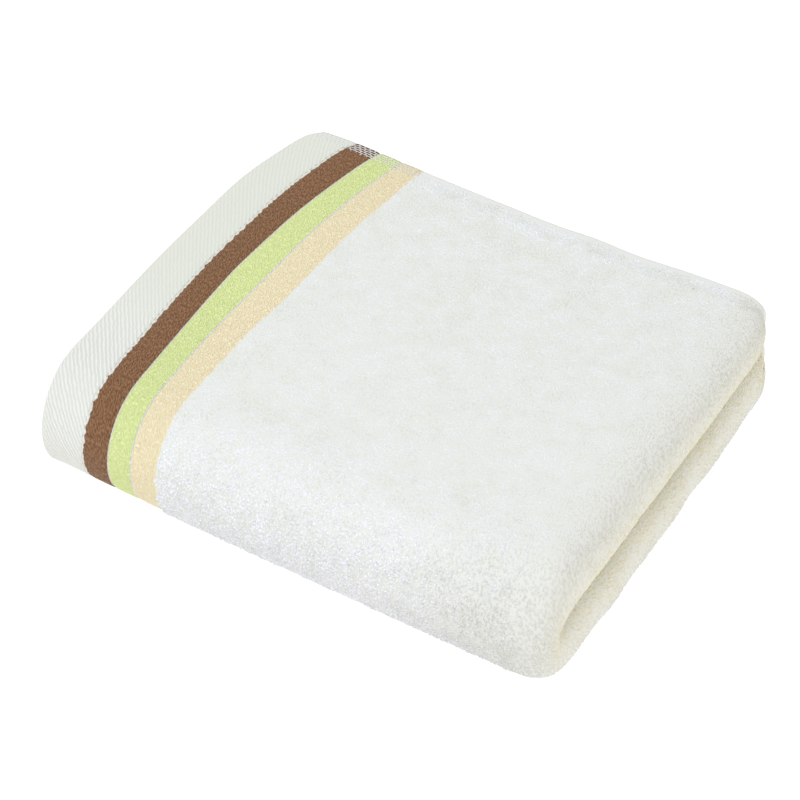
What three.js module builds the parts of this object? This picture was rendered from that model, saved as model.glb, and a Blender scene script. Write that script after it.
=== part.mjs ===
// A hand towel folded for the shelf: one length of terry cloth, folded in half and in half again
// across its length, then in half along it, so that eight layers lie on each other.
// Lengths are in millimetres. X runs from the hem end to the rolled end, Y from the long fold to
// the side where the selvedges lie, and Z is up. The lowest layer rests flat on Z = 0.
import * as THREE from "three";

// The cloth
const clothWidth = 350;
const layerGap = 0.5;
const middleGap = 0.8;
const borderWidth = 43.7;
const pileStep = 1.5;
const selvedgeWidth = 3.5;
const selvedgeStep = 4;
const flatWeaveThickness = 2.2;
const hemBead = { width: 3, thickness: 2.7, edgeThickness: 1.2, edgeWidth: 0.8 };

// The folded form, as it shows from outside
const foldedLength = 187;
const stackHeight = { hemEnd: 40.4, middle: 39.7, rolledEnd: 45.7 };
const layersInStack = 4;
const longFold = {
  upper: { reach: 27.6, fullness: 2.56 },
  lower: { reach: 18.9, fullness: 2.22 },
  layerSpacing: 0.6,
  flatStartPerDepth: 0.18,
};
const sideStagger = 0.11;
const crown = { slope: -0.29, dome: -0.22, twist: -0.17 };
const hemLine = { skew: -4.9, bow: 21.8, ripple: 2.9 };
const rolledLine = { skew: -10.8, bow: -2.9, lowerReach: 0.5 };
const rolledCorner = { pull: 4.4, reach: 7.3, fade: 2.7 };
const hemCorner = { pull: 3.7, reach: 5, fade: 8 };

// Soft ridges and troughs pressed into the top, each a long low swelling that runs along Y and
// fades with a power of the height, so that only the upper layers take part in it
const softFade = 6;
const softForms = [
  { x: 98, y: 132, halfWidth: 13, halfLength: 34, rise: -0.9 },
  { x: 117, y: 150, halfWidth: 9, halfLength: 26, rise: 0.8 },
  { x: 134, y: 138, halfWidth: 10, halfLength: 30, rise: -0.9 },
  { x: 158, y: 112, halfWidth: 13, halfLength: 60, rise: 0.9 },
  { x: 66, y: 38, halfWidth: 10, halfLength: 26, rise: 0.5 },
];

// The run of the cloth from the upper hem to the lower one, which lies just under it.
// A flat stretch keeps to its layer, counted from the outside in; a turn joins two layers and
// bulges by its reach towards the rolled end (side 1) or the hem end (side -1). The cloth's
// outward face is outside every turn but the inner one, which lies within the rolled end.
const rolledReach = 14.2;
const rolledFullness = 2.23;
const innerReach = 8.4;
const hemSideReach = 6.2;
const rolledTurnX = foldedLength - rolledReach;
const hemSideTurnX = 10;
const lowerHemX = 2.5;
const clothRun = [
  { layers: [1], from: 0, to: rolledTurnX, border: "start", steps: 12 },
  { layers: [1, 4], x: rolledTurnX, side: 1, reach: rolledReach, face: 1, steps: 12 },
  { layers: [4], from: rolledTurnX, to: hemSideTurnX, steps: 6 },
  { layers: [4, 3], x: hemSideTurnX, side: -1, reach: hemSideReach, face: 1, steps: 6 },
  { layers: [3], from: hemSideTurnX, to: rolledTurnX, steps: 6 },
  { layers: [3, 2], x: rolledTurnX, side: 1, reach: innerReach, face: -1, steps: 6 },
  { layers: [2], from: rolledTurnX, to: lowerHemX, border: "end", steps: 7 },
];

// The underside: flat in the middle, where it lies on the surface, and down to that surface again
// at the four corners of its full thickness. Between those it stands a hair higher, and towards
// the hem and the selvedge it rises gently.
const sole = { flatShare: 0.35, cornerShare: 0.9, rise: 0.1, edgeSlope: 0.02 };

// Stations across the cloth: how many steps cross each flat and each half of the long fold
const acrossSteps = { upperFlat: 6, upperFold: 9, lowerFold: 8, lowerFlat: 6 };
const arcSamples = 64;

const ramp = (value, start, width) => THREE.MathUtils.clamp((value - start) / width, 0, 1);
const signedPower = (value, power) => Math.sign(value) * Math.abs(value) ** power;

// Height of the whole pile of layers, a parabola through the three heights along X
function heightAt(x) {
  const t = THREE.MathUtils.clamp(x / foldedLength, 0, 1);
  return (
    stackHeight.hemEnd * (1 - t) * (1 - 2 * t) +
    stackHeight.middle * 4 * t * (1 - t) +
    stackHeight.rolledEnd * t * (2 * t - 1)
  );
}

// Depth that one layer takes up in a stack of four
function layerPitch(x) {
  return (heightAt(x) / 2 - middleGap / 2) / layersInStack;
}

// The outer half curve of the long fold from its flat start to its furthest point: a superellipse,
// measured once along its length so that the cloth isn't stretched round it
function foldProfile(half) {
  const height = heightAt(foldedLength / 2) / 2;
  const angles = [];
  const lengths = [];
  let before = null;
  let total = 0;
  for (let i = 0; i <= arcSamples; i++) {
    const angle = ((Math.PI / 2) * i) / arcSamples;
    const out = Math.sin(angle);
    const y = -half.reach * out;
    const z = height * Math.sqrt(Math.max(0, 1 - out ** half.fullness));
    if (before) total += Math.hypot(y - before.y, z - before.z);
    before = { y, z };
    angles.push(angle);
    lengths.push(total);
  }
  const round = (Math.PI / 2) * Math.sqrt((half.reach ** 2 + height ** 2) / 2);
  return { ...half, angles, lengths, total, perRound: total / round };
}

const upperFold = foldProfile(longFold.upper);
const lowerFold = foldProfile(longFold.lower);
const foldedWidth = clothWidth / 2 - upperFold.total + longFold.upper.reach;

// Angle on the fold at a share of its length
function angleAt(profile, share) {
  const wanted = THREE.MathUtils.clamp(share, 0, 1) * profile.total;
  let i = 1;
  while (i < arcSamples && profile.lengths[i] < wanted) i++;
  const span = profile.lengths[i] - profile.lengths[i - 1];
  const t = (wanted - profile.lengths[i - 1]) / span;
  return THREE.MathUtils.lerp(profile.angles[i - 1], profile.angles[i], t);
}

// Rise of the soft ridges and troughs at a place on the top
function softRise(x, y) {
  return softForms.reduce((sum, form) => {
    const u = (x - form.x) / form.halfWidth;
    const v = (y - form.y) / form.halfLength;
    return sum + form.rise * Math.exp(-u * u - v * v);
  }, 0);
}

// Place of a point of the folded stack: x along it, share 0 to 1 across the cloth from the upper
// selvedge round the long fold to the lower one, and depth inwards from the outside
function placeInFold(x, share, depth) {
  const t = THREE.MathUtils.clamp(x / foldedLength, 0, 1);
  const height = heightAt(x);
  const isUpper = share <= 0.5;
  const profile = isUpper ? upperFold : lowerFold;
  const halfHeight = height / 2 - depth;
  const tip = longFold.layerSpacing * depth;
  const flatStart = profile.reach + longFold.flatStartPerDepth * depth;
  const bulge = flatStart - tip;
  const arc = profile.perRound * (Math.PI / 2) * Math.sqrt((bulge ** 2 + halfHeight ** 2) / 2);
  const edge = foldedWidth + sideStagger * depth;
  const flat = edge - flatStart;
  const along = (isUpper ? share : 1 - share) * 2 * (flat + arc);

  let y = edge - along;
  let out = 0;
  if (along > flat) {
    out = Math.sin(angleAt(profile, (along - flat) / arc));
    y = flatStart - bulge * out;
  }
  const up = Math.sqrt(Math.max(0, 1 - out ** profile.fullness)) * (isUpper ? 1 : -1);

  const across = y / foldedWidth - 0.5;
  const domed = across * across - 0.25;
  const lift = 1 + crown.slope * across + crown.dome * domed + crown.twist * across * (2 * t - 1);
  let z = height / 2 + halfHeight * up * (isUpper ? lift : 1);
  z += softRise(x, y) * (z / ((1 + lift) * (height / 2))) ** softFade;

  const hemShift =
    hemLine.skew * across + hemLine.bow * domed + 4 * hemLine.ripple * across * domed;
  const rolledShift = rolledLine.skew * across + rolledLine.bow * domed;
  const fromEdge = Math.max(0, foldedWidth - y);
  const rolledPull = rolledCorner.pull * Math.exp(-((fromEdge / rolledCorner.reach) ** 1.5));
  const hemPull = hemCorner.pull * Math.exp(-fromEdge / hemCorner.reach);
  const shifted =
    x +
    (1 - t) * hemShift +
    t * rolledShift -
    t ** rolledCorner.fade * rolledPull +
    (1 - t) ** hemCorner.fade * hemPull +
    t ** 4 * rolledLine.lowerReach * (0.5 - 0.5 * up);
  return new THREE.Vector3(shifted, y, z);
}

// Stations of a flat stretch, closer together over its woven border
function flatStations(stretch) {
  const length = Math.abs(stretch.to - stretch.from);
  const borderLines = [
    0,
    hemBead.edgeWidth,
    hemBead.width,
    borderWidth / 3,
    (borderWidth * 2) / 3,
    borderWidth,
    borderWidth + pileStep,
  ];
  const first = stretch.border ? borderWidth + pileStep : 0;
  const plain = [];
  for (let i = 0; i <= stretch.steps; i++) {
    plain.push(THREE.MathUtils.lerp(first, length, i / stretch.steps));
  }
  let marks = stretch.border ? [...borderLines.slice(0, -1), ...plain] : plain;
  if (stretch.border === "end") marks = marks.map((mark) => length - mark).reverse();
  const direction = Math.sign(stretch.to - stretch.from);
  const [layer] = stretch.layers;
  const faceUp = layer === 1 || layer === 3;
  return marks.map((mark) => ({
    x: stretch.from + direction * mark,
    layerDepth: layer - 0.5,
    towardsFace: { x: 0, depth: faceUp ? -1 : 1 },
    mark,
  }));
}

// Stations of a turn: half a superellipse from one layer to another
function turnStations(turn) {
  const [start, end] = turn.layers;
  const middle = (start + end - 1) / 2;
  const halfSpan = (end - start) / 2;
  const power = 2 / rolledFullness;
  const clothReach = turn.reach - (layerPitch(turn.x) - layerGap) / 2;
  const stations = [];
  let length = 0;
  let before = null;
  for (let i = 1; i < turn.steps; i++) {
    const angle = (Math.PI * i) / turn.steps;
    const out = Math.sin(angle) ** power;
    const down = signedPower(-Math.cos(angle), power);
    const x = turn.x + turn.side * clothReach * out;
    const layerDepth = middle + halfSpan * down;
    const point = { x, depth: layerDepth * layerPitch(x) };
    if (before) length += Math.hypot(point.x - before.x, point.depth - before.depth);
    before = point;
    stations.push({
      x,
      layerDepth,
      towardsFace: {
        x: turn.face * turn.side * out,
        depth: turn.face * Math.sign(halfSpan) * down,
      },
      mark: length,
    });
  }
  return stations;
}

// All stations along the cloth, each with its distance from the upper hem
function stationsAlong() {
  const stations = [];
  let total = 0;
  for (const stretch of clothRun) {
    const isTurn = stretch.layers.length === 2;
    for (const station of isTurn ? turnStations(stretch) : flatStations(stretch)) {
      const last = stations[stations.length - 1];
      if (last) {
        const rise = (station.layerDepth - last.layerDepth) * layerPitch(station.x);
        total += Math.hypot(station.x - last.x, rise);
      }
      stations.push({ ...station, length: total });
    }
  }
  return { stations, clothLength: total };
}

// Stations across the cloth, as distances from its upper selvedge
function stationsAcross() {
  const pileEdge = selvedgeWidth + selvedgeStep;
  const middle = clothWidth / 2;
  const spans = [
    [pileEdge, middle - upperFold.total, acrossSteps.upperFlat],
    [middle - upperFold.total, middle, acrossSteps.upperFold],
    [middle, middle + lowerFold.total, acrossSteps.lowerFold],
    [middle + lowerFold.total, clothWidth - pileEdge, acrossSteps.lowerFlat],
  ];
  const marks = [0, selvedgeWidth, pileEdge];
  for (const [from, to, steps] of spans) {
    for (let i = 1; i <= steps; i++) marks.push(THREE.MathUtils.lerp(from, to, i / steps));
  }
  return [...marks, clothWidth - selvedgeWidth, clothWidth];
}

// Thickness of the cloth: full under its pile, thin along the selvedges and the border, and
// thicker again where the hem is turned in at each end
function thicknessAt(length, clothLength, across, x) {
  const fromEnd = Math.min(length, clothLength - length);
  const fromSide = Math.min(across, clothWidth - across);
  const pile =
    ramp(fromEnd, borderWidth, pileStep) * ramp(fromSide, selvedgeWidth, selvedgeStep);
  const bead = hemBead.thickness - flatWeaveThickness;
  const edge = hemBead.thickness - hemBead.edgeThickness;
  const flat =
    flatWeaveThickness +
    bead * (1 - ramp(fromEnd, hemBead.width, hemBead.width)) -
    edge * (1 - ramp(fromEnd, 0, hemBead.edgeWidth));
  return THREE.MathUtils.lerp(flat, layerPitch(x) - layerGap, pile);
}

// Height of the underside over the surface, at a place along the folded stack and a distance
// from the upper selvedge
function soleRise(x, across) {
  const near = clothWidth / 2 + lowerFold.total;
  const far = clothWidth - selvedgeWidth - selvedgeStep;
  const hemSide = borderWidth + pileStep;
  const a = Math.abs(x - (hemSide + rolledTurnX) / 2) / ((rolledTurnX - hemSide) / 2);
  const b = Math.abs(across - (near + far) / 2) / ((far - near) / 2);
  const between = 1 - (Math.min(a, 1) * Math.min(b, 1)) ** 2;
  const outward = THREE.MathUtils.smoothstep(Math.max(a, b), sole.flatShare, sole.cornerShare);
  const beyond = Math.max(0, hemSide - x) + Math.max(0, across - far);
  return sole.rise * between * outward + sole.edgeSlope * beyond;
}

// How far the outside layer of the lower half moves towards its surface, so that its thin border
// and selvedge lie there too. It fades round the long fold and into the turns.
function towardsSole(station, across, thickness) {
  const share = across / clothWidth;
  const outer = THREE.MathUtils.clamp(1.5 - station.layerDepth, 0, 1);
  const spare = (layerPitch(station.x) - layerGap - thickness) / 2;
  const folded = THREE.MathUtils.smoothstep(share, 0.5, 0.5 + lowerFold.total / clothWidth);
  const sunk = spare * THREE.MathUtils.smoothstep(share, 0.6, 0.8);
  return outer * (sunk - folded * soleRise(station.x, across));
}

// The cloth as one closed solid: a grid of points on each face, joined round the four edges
function towelGeometry() {
  const { stations, clothLength } = stationsAlong();
  const across = stationsAcross();
  const rows = stations.length;
  const columns = across.length;
  const positions = [];
  for (const face of [1, -1]) {
    for (const station of stations) {
      for (const distance of across) {
        const share = distance / clothWidth;
        const thickness = thicknessAt(station.length, clothLength, distance, station.x);
        const pitch = layerPitch(station.x);
        const offset = (face * thickness) / 2;
        const x = station.x + offset * station.towardsFace.x;
        const depth =
          station.layerDepth * pitch +
          offset * station.towardsFace.depth -
          towardsSole(station, distance, thickness);
        positions.push(...placeInFold(x, share, depth).toArray());
      }
    }
  }
  const at = (side, row, column) => (side * rows + row) * columns + column;
  const index = [];
  const quad = (a, b, c, d) => index.push(a, b, c, a, c, d);
  for (let i = 0; i < rows - 1; i++) {
    for (let j = 0; j < columns - 1; j++) {
      quad(at(0, i, j), at(0, i, j + 1), at(0, i + 1, j + 1), at(0, i + 1, j));
      quad(at(1, i, j), at(1, i + 1, j), at(1, i + 1, j + 1), at(1, i, j + 1));
    }
    const last = columns - 1;
    quad(at(0, i, 0), at(0, i + 1, 0), at(1, i + 1, 0), at(1, i, 0));
    quad(at(0, i, last), at(1, i, last), at(1, i + 1, last), at(0, i + 1, last));
  }
  for (let j = 0; j < columns - 1; j++) {
    const last = rows - 1;
    quad(at(0, 0, j), at(1, 0, j), at(1, 0, j + 1), at(0, 0, j + 1));
    quad(at(0, last, j), at(0, last, j + 1), at(1, last, j + 1), at(1, last, j));
  }
  const geometry = new THREE.BufferGeometry();
  geometry.setAttribute("position", new THREE.Float32BufferAttribute(positions, 3));
  geometry.setIndex(index);
  geometry.computeVertexNormals();
  return geometry;
}

const terryCotton = new THREE.MeshStandardMaterial({
  color: 0xf0f1ea,
  roughness: 1,
  metalness: 0,
});

const towel = new THREE.Mesh(towelGeometry(), terryCotton);
towel.name = "towel";

// The part's origin is at the middle of its box, on the surface that it rests on
towel.geometry.computeBoundingBox();
const box = towel.geometry.boundingBox;
towel.position.set(-(box.min.x + box.max.x) / 2, -(box.min.y + box.max.y) / 2, -box.min.z);

const foldedTowel = new THREE.Group();
foldedTowel.add(towel);

export default foldedTowel;
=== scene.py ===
"""The looks of a folded terry hand towel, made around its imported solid.

One length of terry cloth is folded in half and in half again across its length, and then in half
along it, so that eight layers lie on each other. The sheet follows the same folds as the solid.
Its hem band is twill, three satin stripes run beside the band, and the rest carries loop pile.

Lengths are in millimetres, as a weaver would measure them, and a mesh is written in metres. X runs
from the hem end to the rolled end, Y from the long fold to the selvedges, and Z is up.
"""

import logging
import math
from collections.abc import Iterable
from dataclasses import dataclass, field
from enum import Enum

import bpy
import numpy as np
from mathutils import Matrix, Vector

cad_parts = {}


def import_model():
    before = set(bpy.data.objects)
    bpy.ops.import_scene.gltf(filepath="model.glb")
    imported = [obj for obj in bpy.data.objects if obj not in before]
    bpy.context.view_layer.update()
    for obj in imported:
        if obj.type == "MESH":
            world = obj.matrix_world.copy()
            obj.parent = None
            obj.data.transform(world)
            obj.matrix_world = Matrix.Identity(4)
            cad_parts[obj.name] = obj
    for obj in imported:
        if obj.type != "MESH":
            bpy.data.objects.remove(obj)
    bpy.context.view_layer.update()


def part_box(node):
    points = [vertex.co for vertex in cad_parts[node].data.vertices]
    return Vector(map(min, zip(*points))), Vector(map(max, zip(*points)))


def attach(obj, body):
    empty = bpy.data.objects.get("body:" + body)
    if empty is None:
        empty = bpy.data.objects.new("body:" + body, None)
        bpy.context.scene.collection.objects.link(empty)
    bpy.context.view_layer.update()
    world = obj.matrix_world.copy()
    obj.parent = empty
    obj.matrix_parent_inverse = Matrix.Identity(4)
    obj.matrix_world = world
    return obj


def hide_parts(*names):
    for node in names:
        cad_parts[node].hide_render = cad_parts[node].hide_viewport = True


LOG = logging.getLogger("towel")
MM = 0.001
IMAGE_SIZE = 800
SEED = 41

Array = np.ndarray
Colour = tuple[float, float, float]


class Side(Enum):
    """The two faces of the cloth: the one outside most of its folds, and its back."""

    FACE = 1
    BACK = -1


def ramp(value: Array, start: float, width: float) -> Array:
    """Rise evenly from 0 at start to 1 one width further on."""
    return np.clip((value - start) / width, 0.0, 1.0)


def smooth(value: Array, start: float, end: float) -> Array:
    """Rise smoothly from 0 at start to 1 at end: 3 t squared less 2 t cubed."""
    t = np.clip((value - start) / (end - start), 0.0, 1.0)
    return t * t * (3.0 - 2.0 * t)


def signed_power(value: Array, power: float) -> Array:
    """Raise the size of a value to a power and keep its sign."""
    return np.sign(value) * np.abs(value) ** power


@dataclass
class Mottle:
    """A soft random pattern over the cloth, between -1 and 1.

    Random heights stand on a square lattice, and a place takes the smoothly weighted mean of the
    four lattice points around it.
    """

    cell: float
    rng: np.random.Generator
    reach: float = 800.0
    heights: Array = field(init=False, repr=False)

    def __post_init__(self) -> None:
        """Draw the lattice's heights."""
        count = int(self.reach / self.cell) + 2
        self.heights = self.rng.uniform(-1.0, 1.0, (count, count))

    def at(self, u: Array, v: Array) -> Array:
        """Value of the pattern at places on the cloth.

        Args:
            u: Places along the cloth.
            v: Places across it.

        Returns:
            The values.
        """
        i = np.clip(u, 0.0, self.reach) / self.cell
        j = np.clip(v, 0.0, self.reach) / self.cell
        low_i = i.astype(int)
        low_j = j.astype(int)
        s = smooth(i - low_i, 0.0, 1.0)
        t = smooth(j - low_j, 0.0, 1.0)
        low = self.heights[low_i, low_j] * (1 - s) + self.heights[low_i + 1, low_j] * s
        high = self.heights[low_i, low_j + 1] * (1 - s) + self.heights[low_i + 1, low_j + 1] * s
        return low * (1 - t) + high * t


@dataclass
class FoldCurve:
    """One half of the long fold in section: a superellipse, measured along its length.

    A point at angle a stands reach times sin a out of the stack, and its height is the stack's
    half height times the square root of 1 less (sin a) to the power of the fullness.
    """

    reach: float
    fullness: float
    height: float
    samples: int = 512
    angles: Array = field(init=False, repr=False)
    lengths: Array = field(init=False, repr=False)

    def __post_init__(self) -> None:
        """Measure the curve once, so that the cloth isn't stretched round it."""
        self.angles = np.linspace(0.0, math.pi / 2, self.samples + 1)
        out = np.sin(self.angles)
        rise = self.height * self.up_at(out)
        steps = np.hypot(self.reach * np.diff(out), np.diff(rise))
        self.lengths = np.concatenate(([0.0], np.cumsum(steps)))

    @property
    def total(self) -> float:
        """Length of the curve."""
        return float(self.lengths[-1])

    @property
    def per_round(self) -> float:
        """Length of the curve for each unit of a quarter ellipse of the same size."""
        quarter = math.pi / 2 * math.sqrt((self.reach**2 + self.height**2) / 2)
        return self.total / quarter

    def up_at(self, out: Array) -> Array:
        """Height, as a share of the half height, where the curve is out by a share of its reach."""
        return np.sqrt(np.clip(1.0 - out**self.fullness, 0.0, None))

    def out_at(self, share: Array) -> Array:
        """Share of the reach that is gained at a share of the curve's length."""
        wanted = np.clip(share, 0.0, 1.0) * self.total
        return np.sin(np.interp(wanted, self.lengths, self.angles))


@dataclass(frozen=True)
class SoftForm:
    """A long low ridge or trough pressed into the top, which runs along Y."""

    x: float
    y: float
    half_width: float
    half_length: float
    rise: float

    def at(self, x: Array, y: Array) -> Array:
        """Rise of the form at a place: a bell shape in both directions.

        Args:
            x: Place along the stack.
            y: Place across it.

        Returns:
            The rise.
        """
        u = (x - self.x) / self.half_width
        v = (y - self.y) / self.half_length
        return self.rise * np.exp(-u * u - v * v)


@dataclass
class FoldedForm:
    """The outer form of the folded stack, and where a point at any depth in it lies."""

    cloth_width: float = 350.0
    folded_length: float = 187.0
    hem_height: float = 40.4
    middle_height: float = 39.7
    rolled_height: float = 45.7
    layers: int = 4
    layer_gap: float = 0.5
    middle_gap: float = 0.8
    layer_spacing: float = 0.6
    flat_start_per_depth: float = 0.18
    side_stagger: float = 0.11
    crown_slope: float = -0.29
    crown_dome: float = -0.22
    crown_twist: float = -0.17
    hem_skew: float = -4.9
    hem_bow: float = 21.8
    hem_ripple: float = 2.9
    rolled_skew: float = -10.8
    rolled_bow: float = -2.9
    rolled_lower_reach: float = 0.5
    rolled_fade: int = 4
    rolled_pull: float = 4.4
    rolled_pull_reach: float = 7.3
    rolled_pull_power: float = 1.5
    rolled_pull_fade: float = 2.7
    hem_pull: float = 3.7
    hem_pull_reach: float = 5.0
    hem_pull_fade: float = 8.0
    hem_tuck: float = 2.4
    hem_tuck_reach: float = 5.0
    hem_tuck_fade: float = 26.0
    hem_swell: float = 1.1
    hem_swell_places: tuple[float, float] = (18.0, 126.0)
    hem_swell_width: float = 17.0
    roll_wave: float = 0.25
    roll_wave_lengths: tuple[float, float] = (37.0, 22.0)
    roll_wave_short_share: float = 0.6
    roll_wave_top: float = 0.6
    soft_fade: float = 6.0
    soft_forms: tuple[SoftForm, ...] = (
        SoftForm(x=98, y=132, half_width=13, half_length=34, rise=-0.9),
        SoftForm(x=117, y=150, half_width=9, half_length=26, rise=0.8),
        SoftForm(x=134, y=138, half_width=10, half_length=30, rise=-0.9),
        SoftForm(x=158, y=112, half_width=13, half_length=60, rise=0.9),
        SoftForm(x=66, y=38, half_width=10, half_length=26, rise=0.5),
    )
    upper: FoldCurve = field(init=False)
    lower: FoldCurve = field(init=False)
    folded_width: float = field(init=False)

    def __post_init__(self) -> None:
        """Measure both halves of the long fold, which settle how wide the folded stack is."""
        half_height = float(self.height_at(np.array(self.folded_length / 2))) / 2
        self.upper = FoldCurve(reach=27.6, fullness=2.56, height=half_height)
        self.lower = FoldCurve(reach=18.9, fullness=2.22, height=half_height)
        self.folded_width = self.cloth_width / 2 - self.upper.total + self.upper.reach

    def along(self, x: Array) -> Array:
        """Share of the folded length at a place."""
        return np.clip(x / self.folded_length, 0.0, 1.0)

    def height_at(self, x: Array) -> Array:
        """Height of the whole stack: a parabola through its three heights.

        Args:
            x: Place along the stack.

        Returns:
            The height.
        """
        t = self.along(x)
        return (
            self.hem_height * (1 - t) * (1 - 2 * t)
            + self.middle_height * 4 * t * (1 - t)
            + self.rolled_height * t * (2 * t - 1)
        )

    def layer_pitch(self, x: Array) -> Array:
        """Depth that one layer takes up in each half of the stack."""
        return (self.height_at(x) / 2 - self.middle_gap / 2) / self.layers

    def across(
        self, curve: FoldCurve, share: Array, height: Array, depth: Array
    ) -> tuple[Array, Array]:
        """Place a point of one half of the section.

        The half runs flat from the selvedge to the long fold, then along the fold's curve, which
        is the outer one drawn in by the depth.

        Args:
            curve: The fold's curve in this half.
            share: Share of this half's cloth between the selvedge, 0, and the fold's tip, 1.
            height: Height of the whole stack there.
            depth: Depth inwards from the outside.

        Returns:
            Y, and the height as a share of the half height.
        """
        half_height = height / 2 - depth
        flat_start = curve.reach + self.flat_start_per_depth * depth
        bulge = flat_start - self.layer_spacing * depth
        round_length = np.sqrt((bulge**2 + half_height**2) / 2) * math.pi / 2
        arc = curve.per_round * round_length
        edge = self.folded_width + self.side_stagger * depth
        flat = edge - flat_start
        gone = share * (flat + arc)
        out = np.where(gone > flat, curve.out_at((gone - flat) / arc), 0.0)
        y = np.where(gone > flat, flat_start - bulge * out, edge - gone)
        return y, curve.up_at(out)

    def shift(self, x: Array, y: Array, up: Array) -> Array:
        """Move along X that gives the two ends their bow, skew, corners, swells and waves.

        An end is skewed in a straight line across the stack and bowed as a parabola. Each corner
        at the selvedges is drawn in by an exponential curve. The hem end swells out in two bell
        shapes, and the lower roll carries two faint sine waves. Each fades out along the stack.

        Args:
            x: Place along the stack.
            y: Place across it.
            up: Height as a share of the half height, negative in the lower half.

        Returns:
            The move.
        """
        t = self.along(x)
        across = y / self.folded_width - 0.5
        domed = across**2 - 0.25
        hem = self.hem_skew * across + self.hem_bow * domed
        hem = hem + 4 * self.hem_ripple * across * domed
        rolled = self.rolled_skew * across + self.rolled_bow * domed
        from_edge = np.clip(self.folded_width - y, 0.0, None)
        rolled_pull = self.rolled_pull * np.exp(
            -((from_edge / self.rolled_pull_reach) ** self.rolled_pull_power)
        )
        hem_pull = self.hem_pull * np.exp(-from_edge / self.hem_pull_reach)
        for place in self.hem_swell_places:
            from_place = (y - place) / self.hem_swell_width
            hem_pull = hem_pull - self.hem_swell * np.exp(-(from_place**2))
        long, short = (2 * math.pi * y / length for length in self.roll_wave_lengths)
        wave = self.roll_wave * (np.sin(long) + self.roll_wave_short_share * np.sin(short - up))
        towards_roll = t**self.rolled_fade
        return (
            (1 - t) * hem
            + t * rolled
            - t**self.rolled_pull_fade * rolled_pull
            + (1 - t) ** self.hem_pull_fade * hem_pull
            + towards_roll * self.rolled_lower_reach * (0.5 - 0.5 * up)
            + towards_roll * wave * (1 - smooth(up, 0.0, self.roll_wave_top))
        )

    def place(self, x: Array, share: Array, depth: Array) -> Array:
        """Place a point of the folded stack.

        The upper half is crowned and carries the soft forms, and the hem's far corner is tucked
        in along Y by a bell shape.

        Args:
            x: Place along the stack, before its ends are bowed and skewed.
            share: 0 to 1 across the cloth, from the upper selvedge round the fold to the lower.
            depth: Depth inwards from the outside.

        Returns:
            Points, with X, Y and Z in the last axis.
        """
        x, share, depth = np.broadcast_arrays(x, share, depth)
        height = self.height_at(x)
        is_upper = share <= 0.5
        upper_y, upper_up = self.across(self.upper, 2 * share, height, depth)
        lower_y, lower_up = self.across(self.lower, 2 * (1 - share), height, depth)
        y = np.where(is_upper, upper_y, lower_y)
        up = np.where(is_upper, upper_up, -lower_up)
        across = y / self.folded_width - 0.5
        twist = self.crown_twist * across * (2 * self.along(x) - 1)
        lift = 1 + self.crown_slope * across + self.crown_dome * (across**2 - 0.25) + twist
        z = height / 2 + (height / 2 - depth) * up * np.where(is_upper, lift, 1.0)
        rise = sum(form.at(x, y) for form in self.soft_forms)
        z = z + rise * (z / ((1 + lift) * height / 2)) ** self.soft_fade
        from_edge = self.folded_width - y
        tuck = (1 - self.along(x)) ** self.hem_tuck_fade * self.hem_tuck
        tuck = tuck * np.exp(-((from_edge / self.hem_tuck_reach) ** 2))
        return np.stack([x + self.shift(x, y, up), y - tuck, z], axis=-1)


@dataclass(frozen=True)
class Flat:
    """A stretch of the cloth that keeps to one layer, counted from the outside in."""

    layer: int
    start: float
    end: float


@dataclass(frozen=True)
class Turn:
    """A turn from one layer to another, which bulges by its reach past a place along the stack.

    It bulges towards the rolled end, way 1, or the hem end, way -1. The cloth's face is outside
    it, or inside it where face_out is -1.
    """

    from_layer: int
    to_layer: int
    x: float
    way: int
    reach: float
    face_out: int


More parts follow.
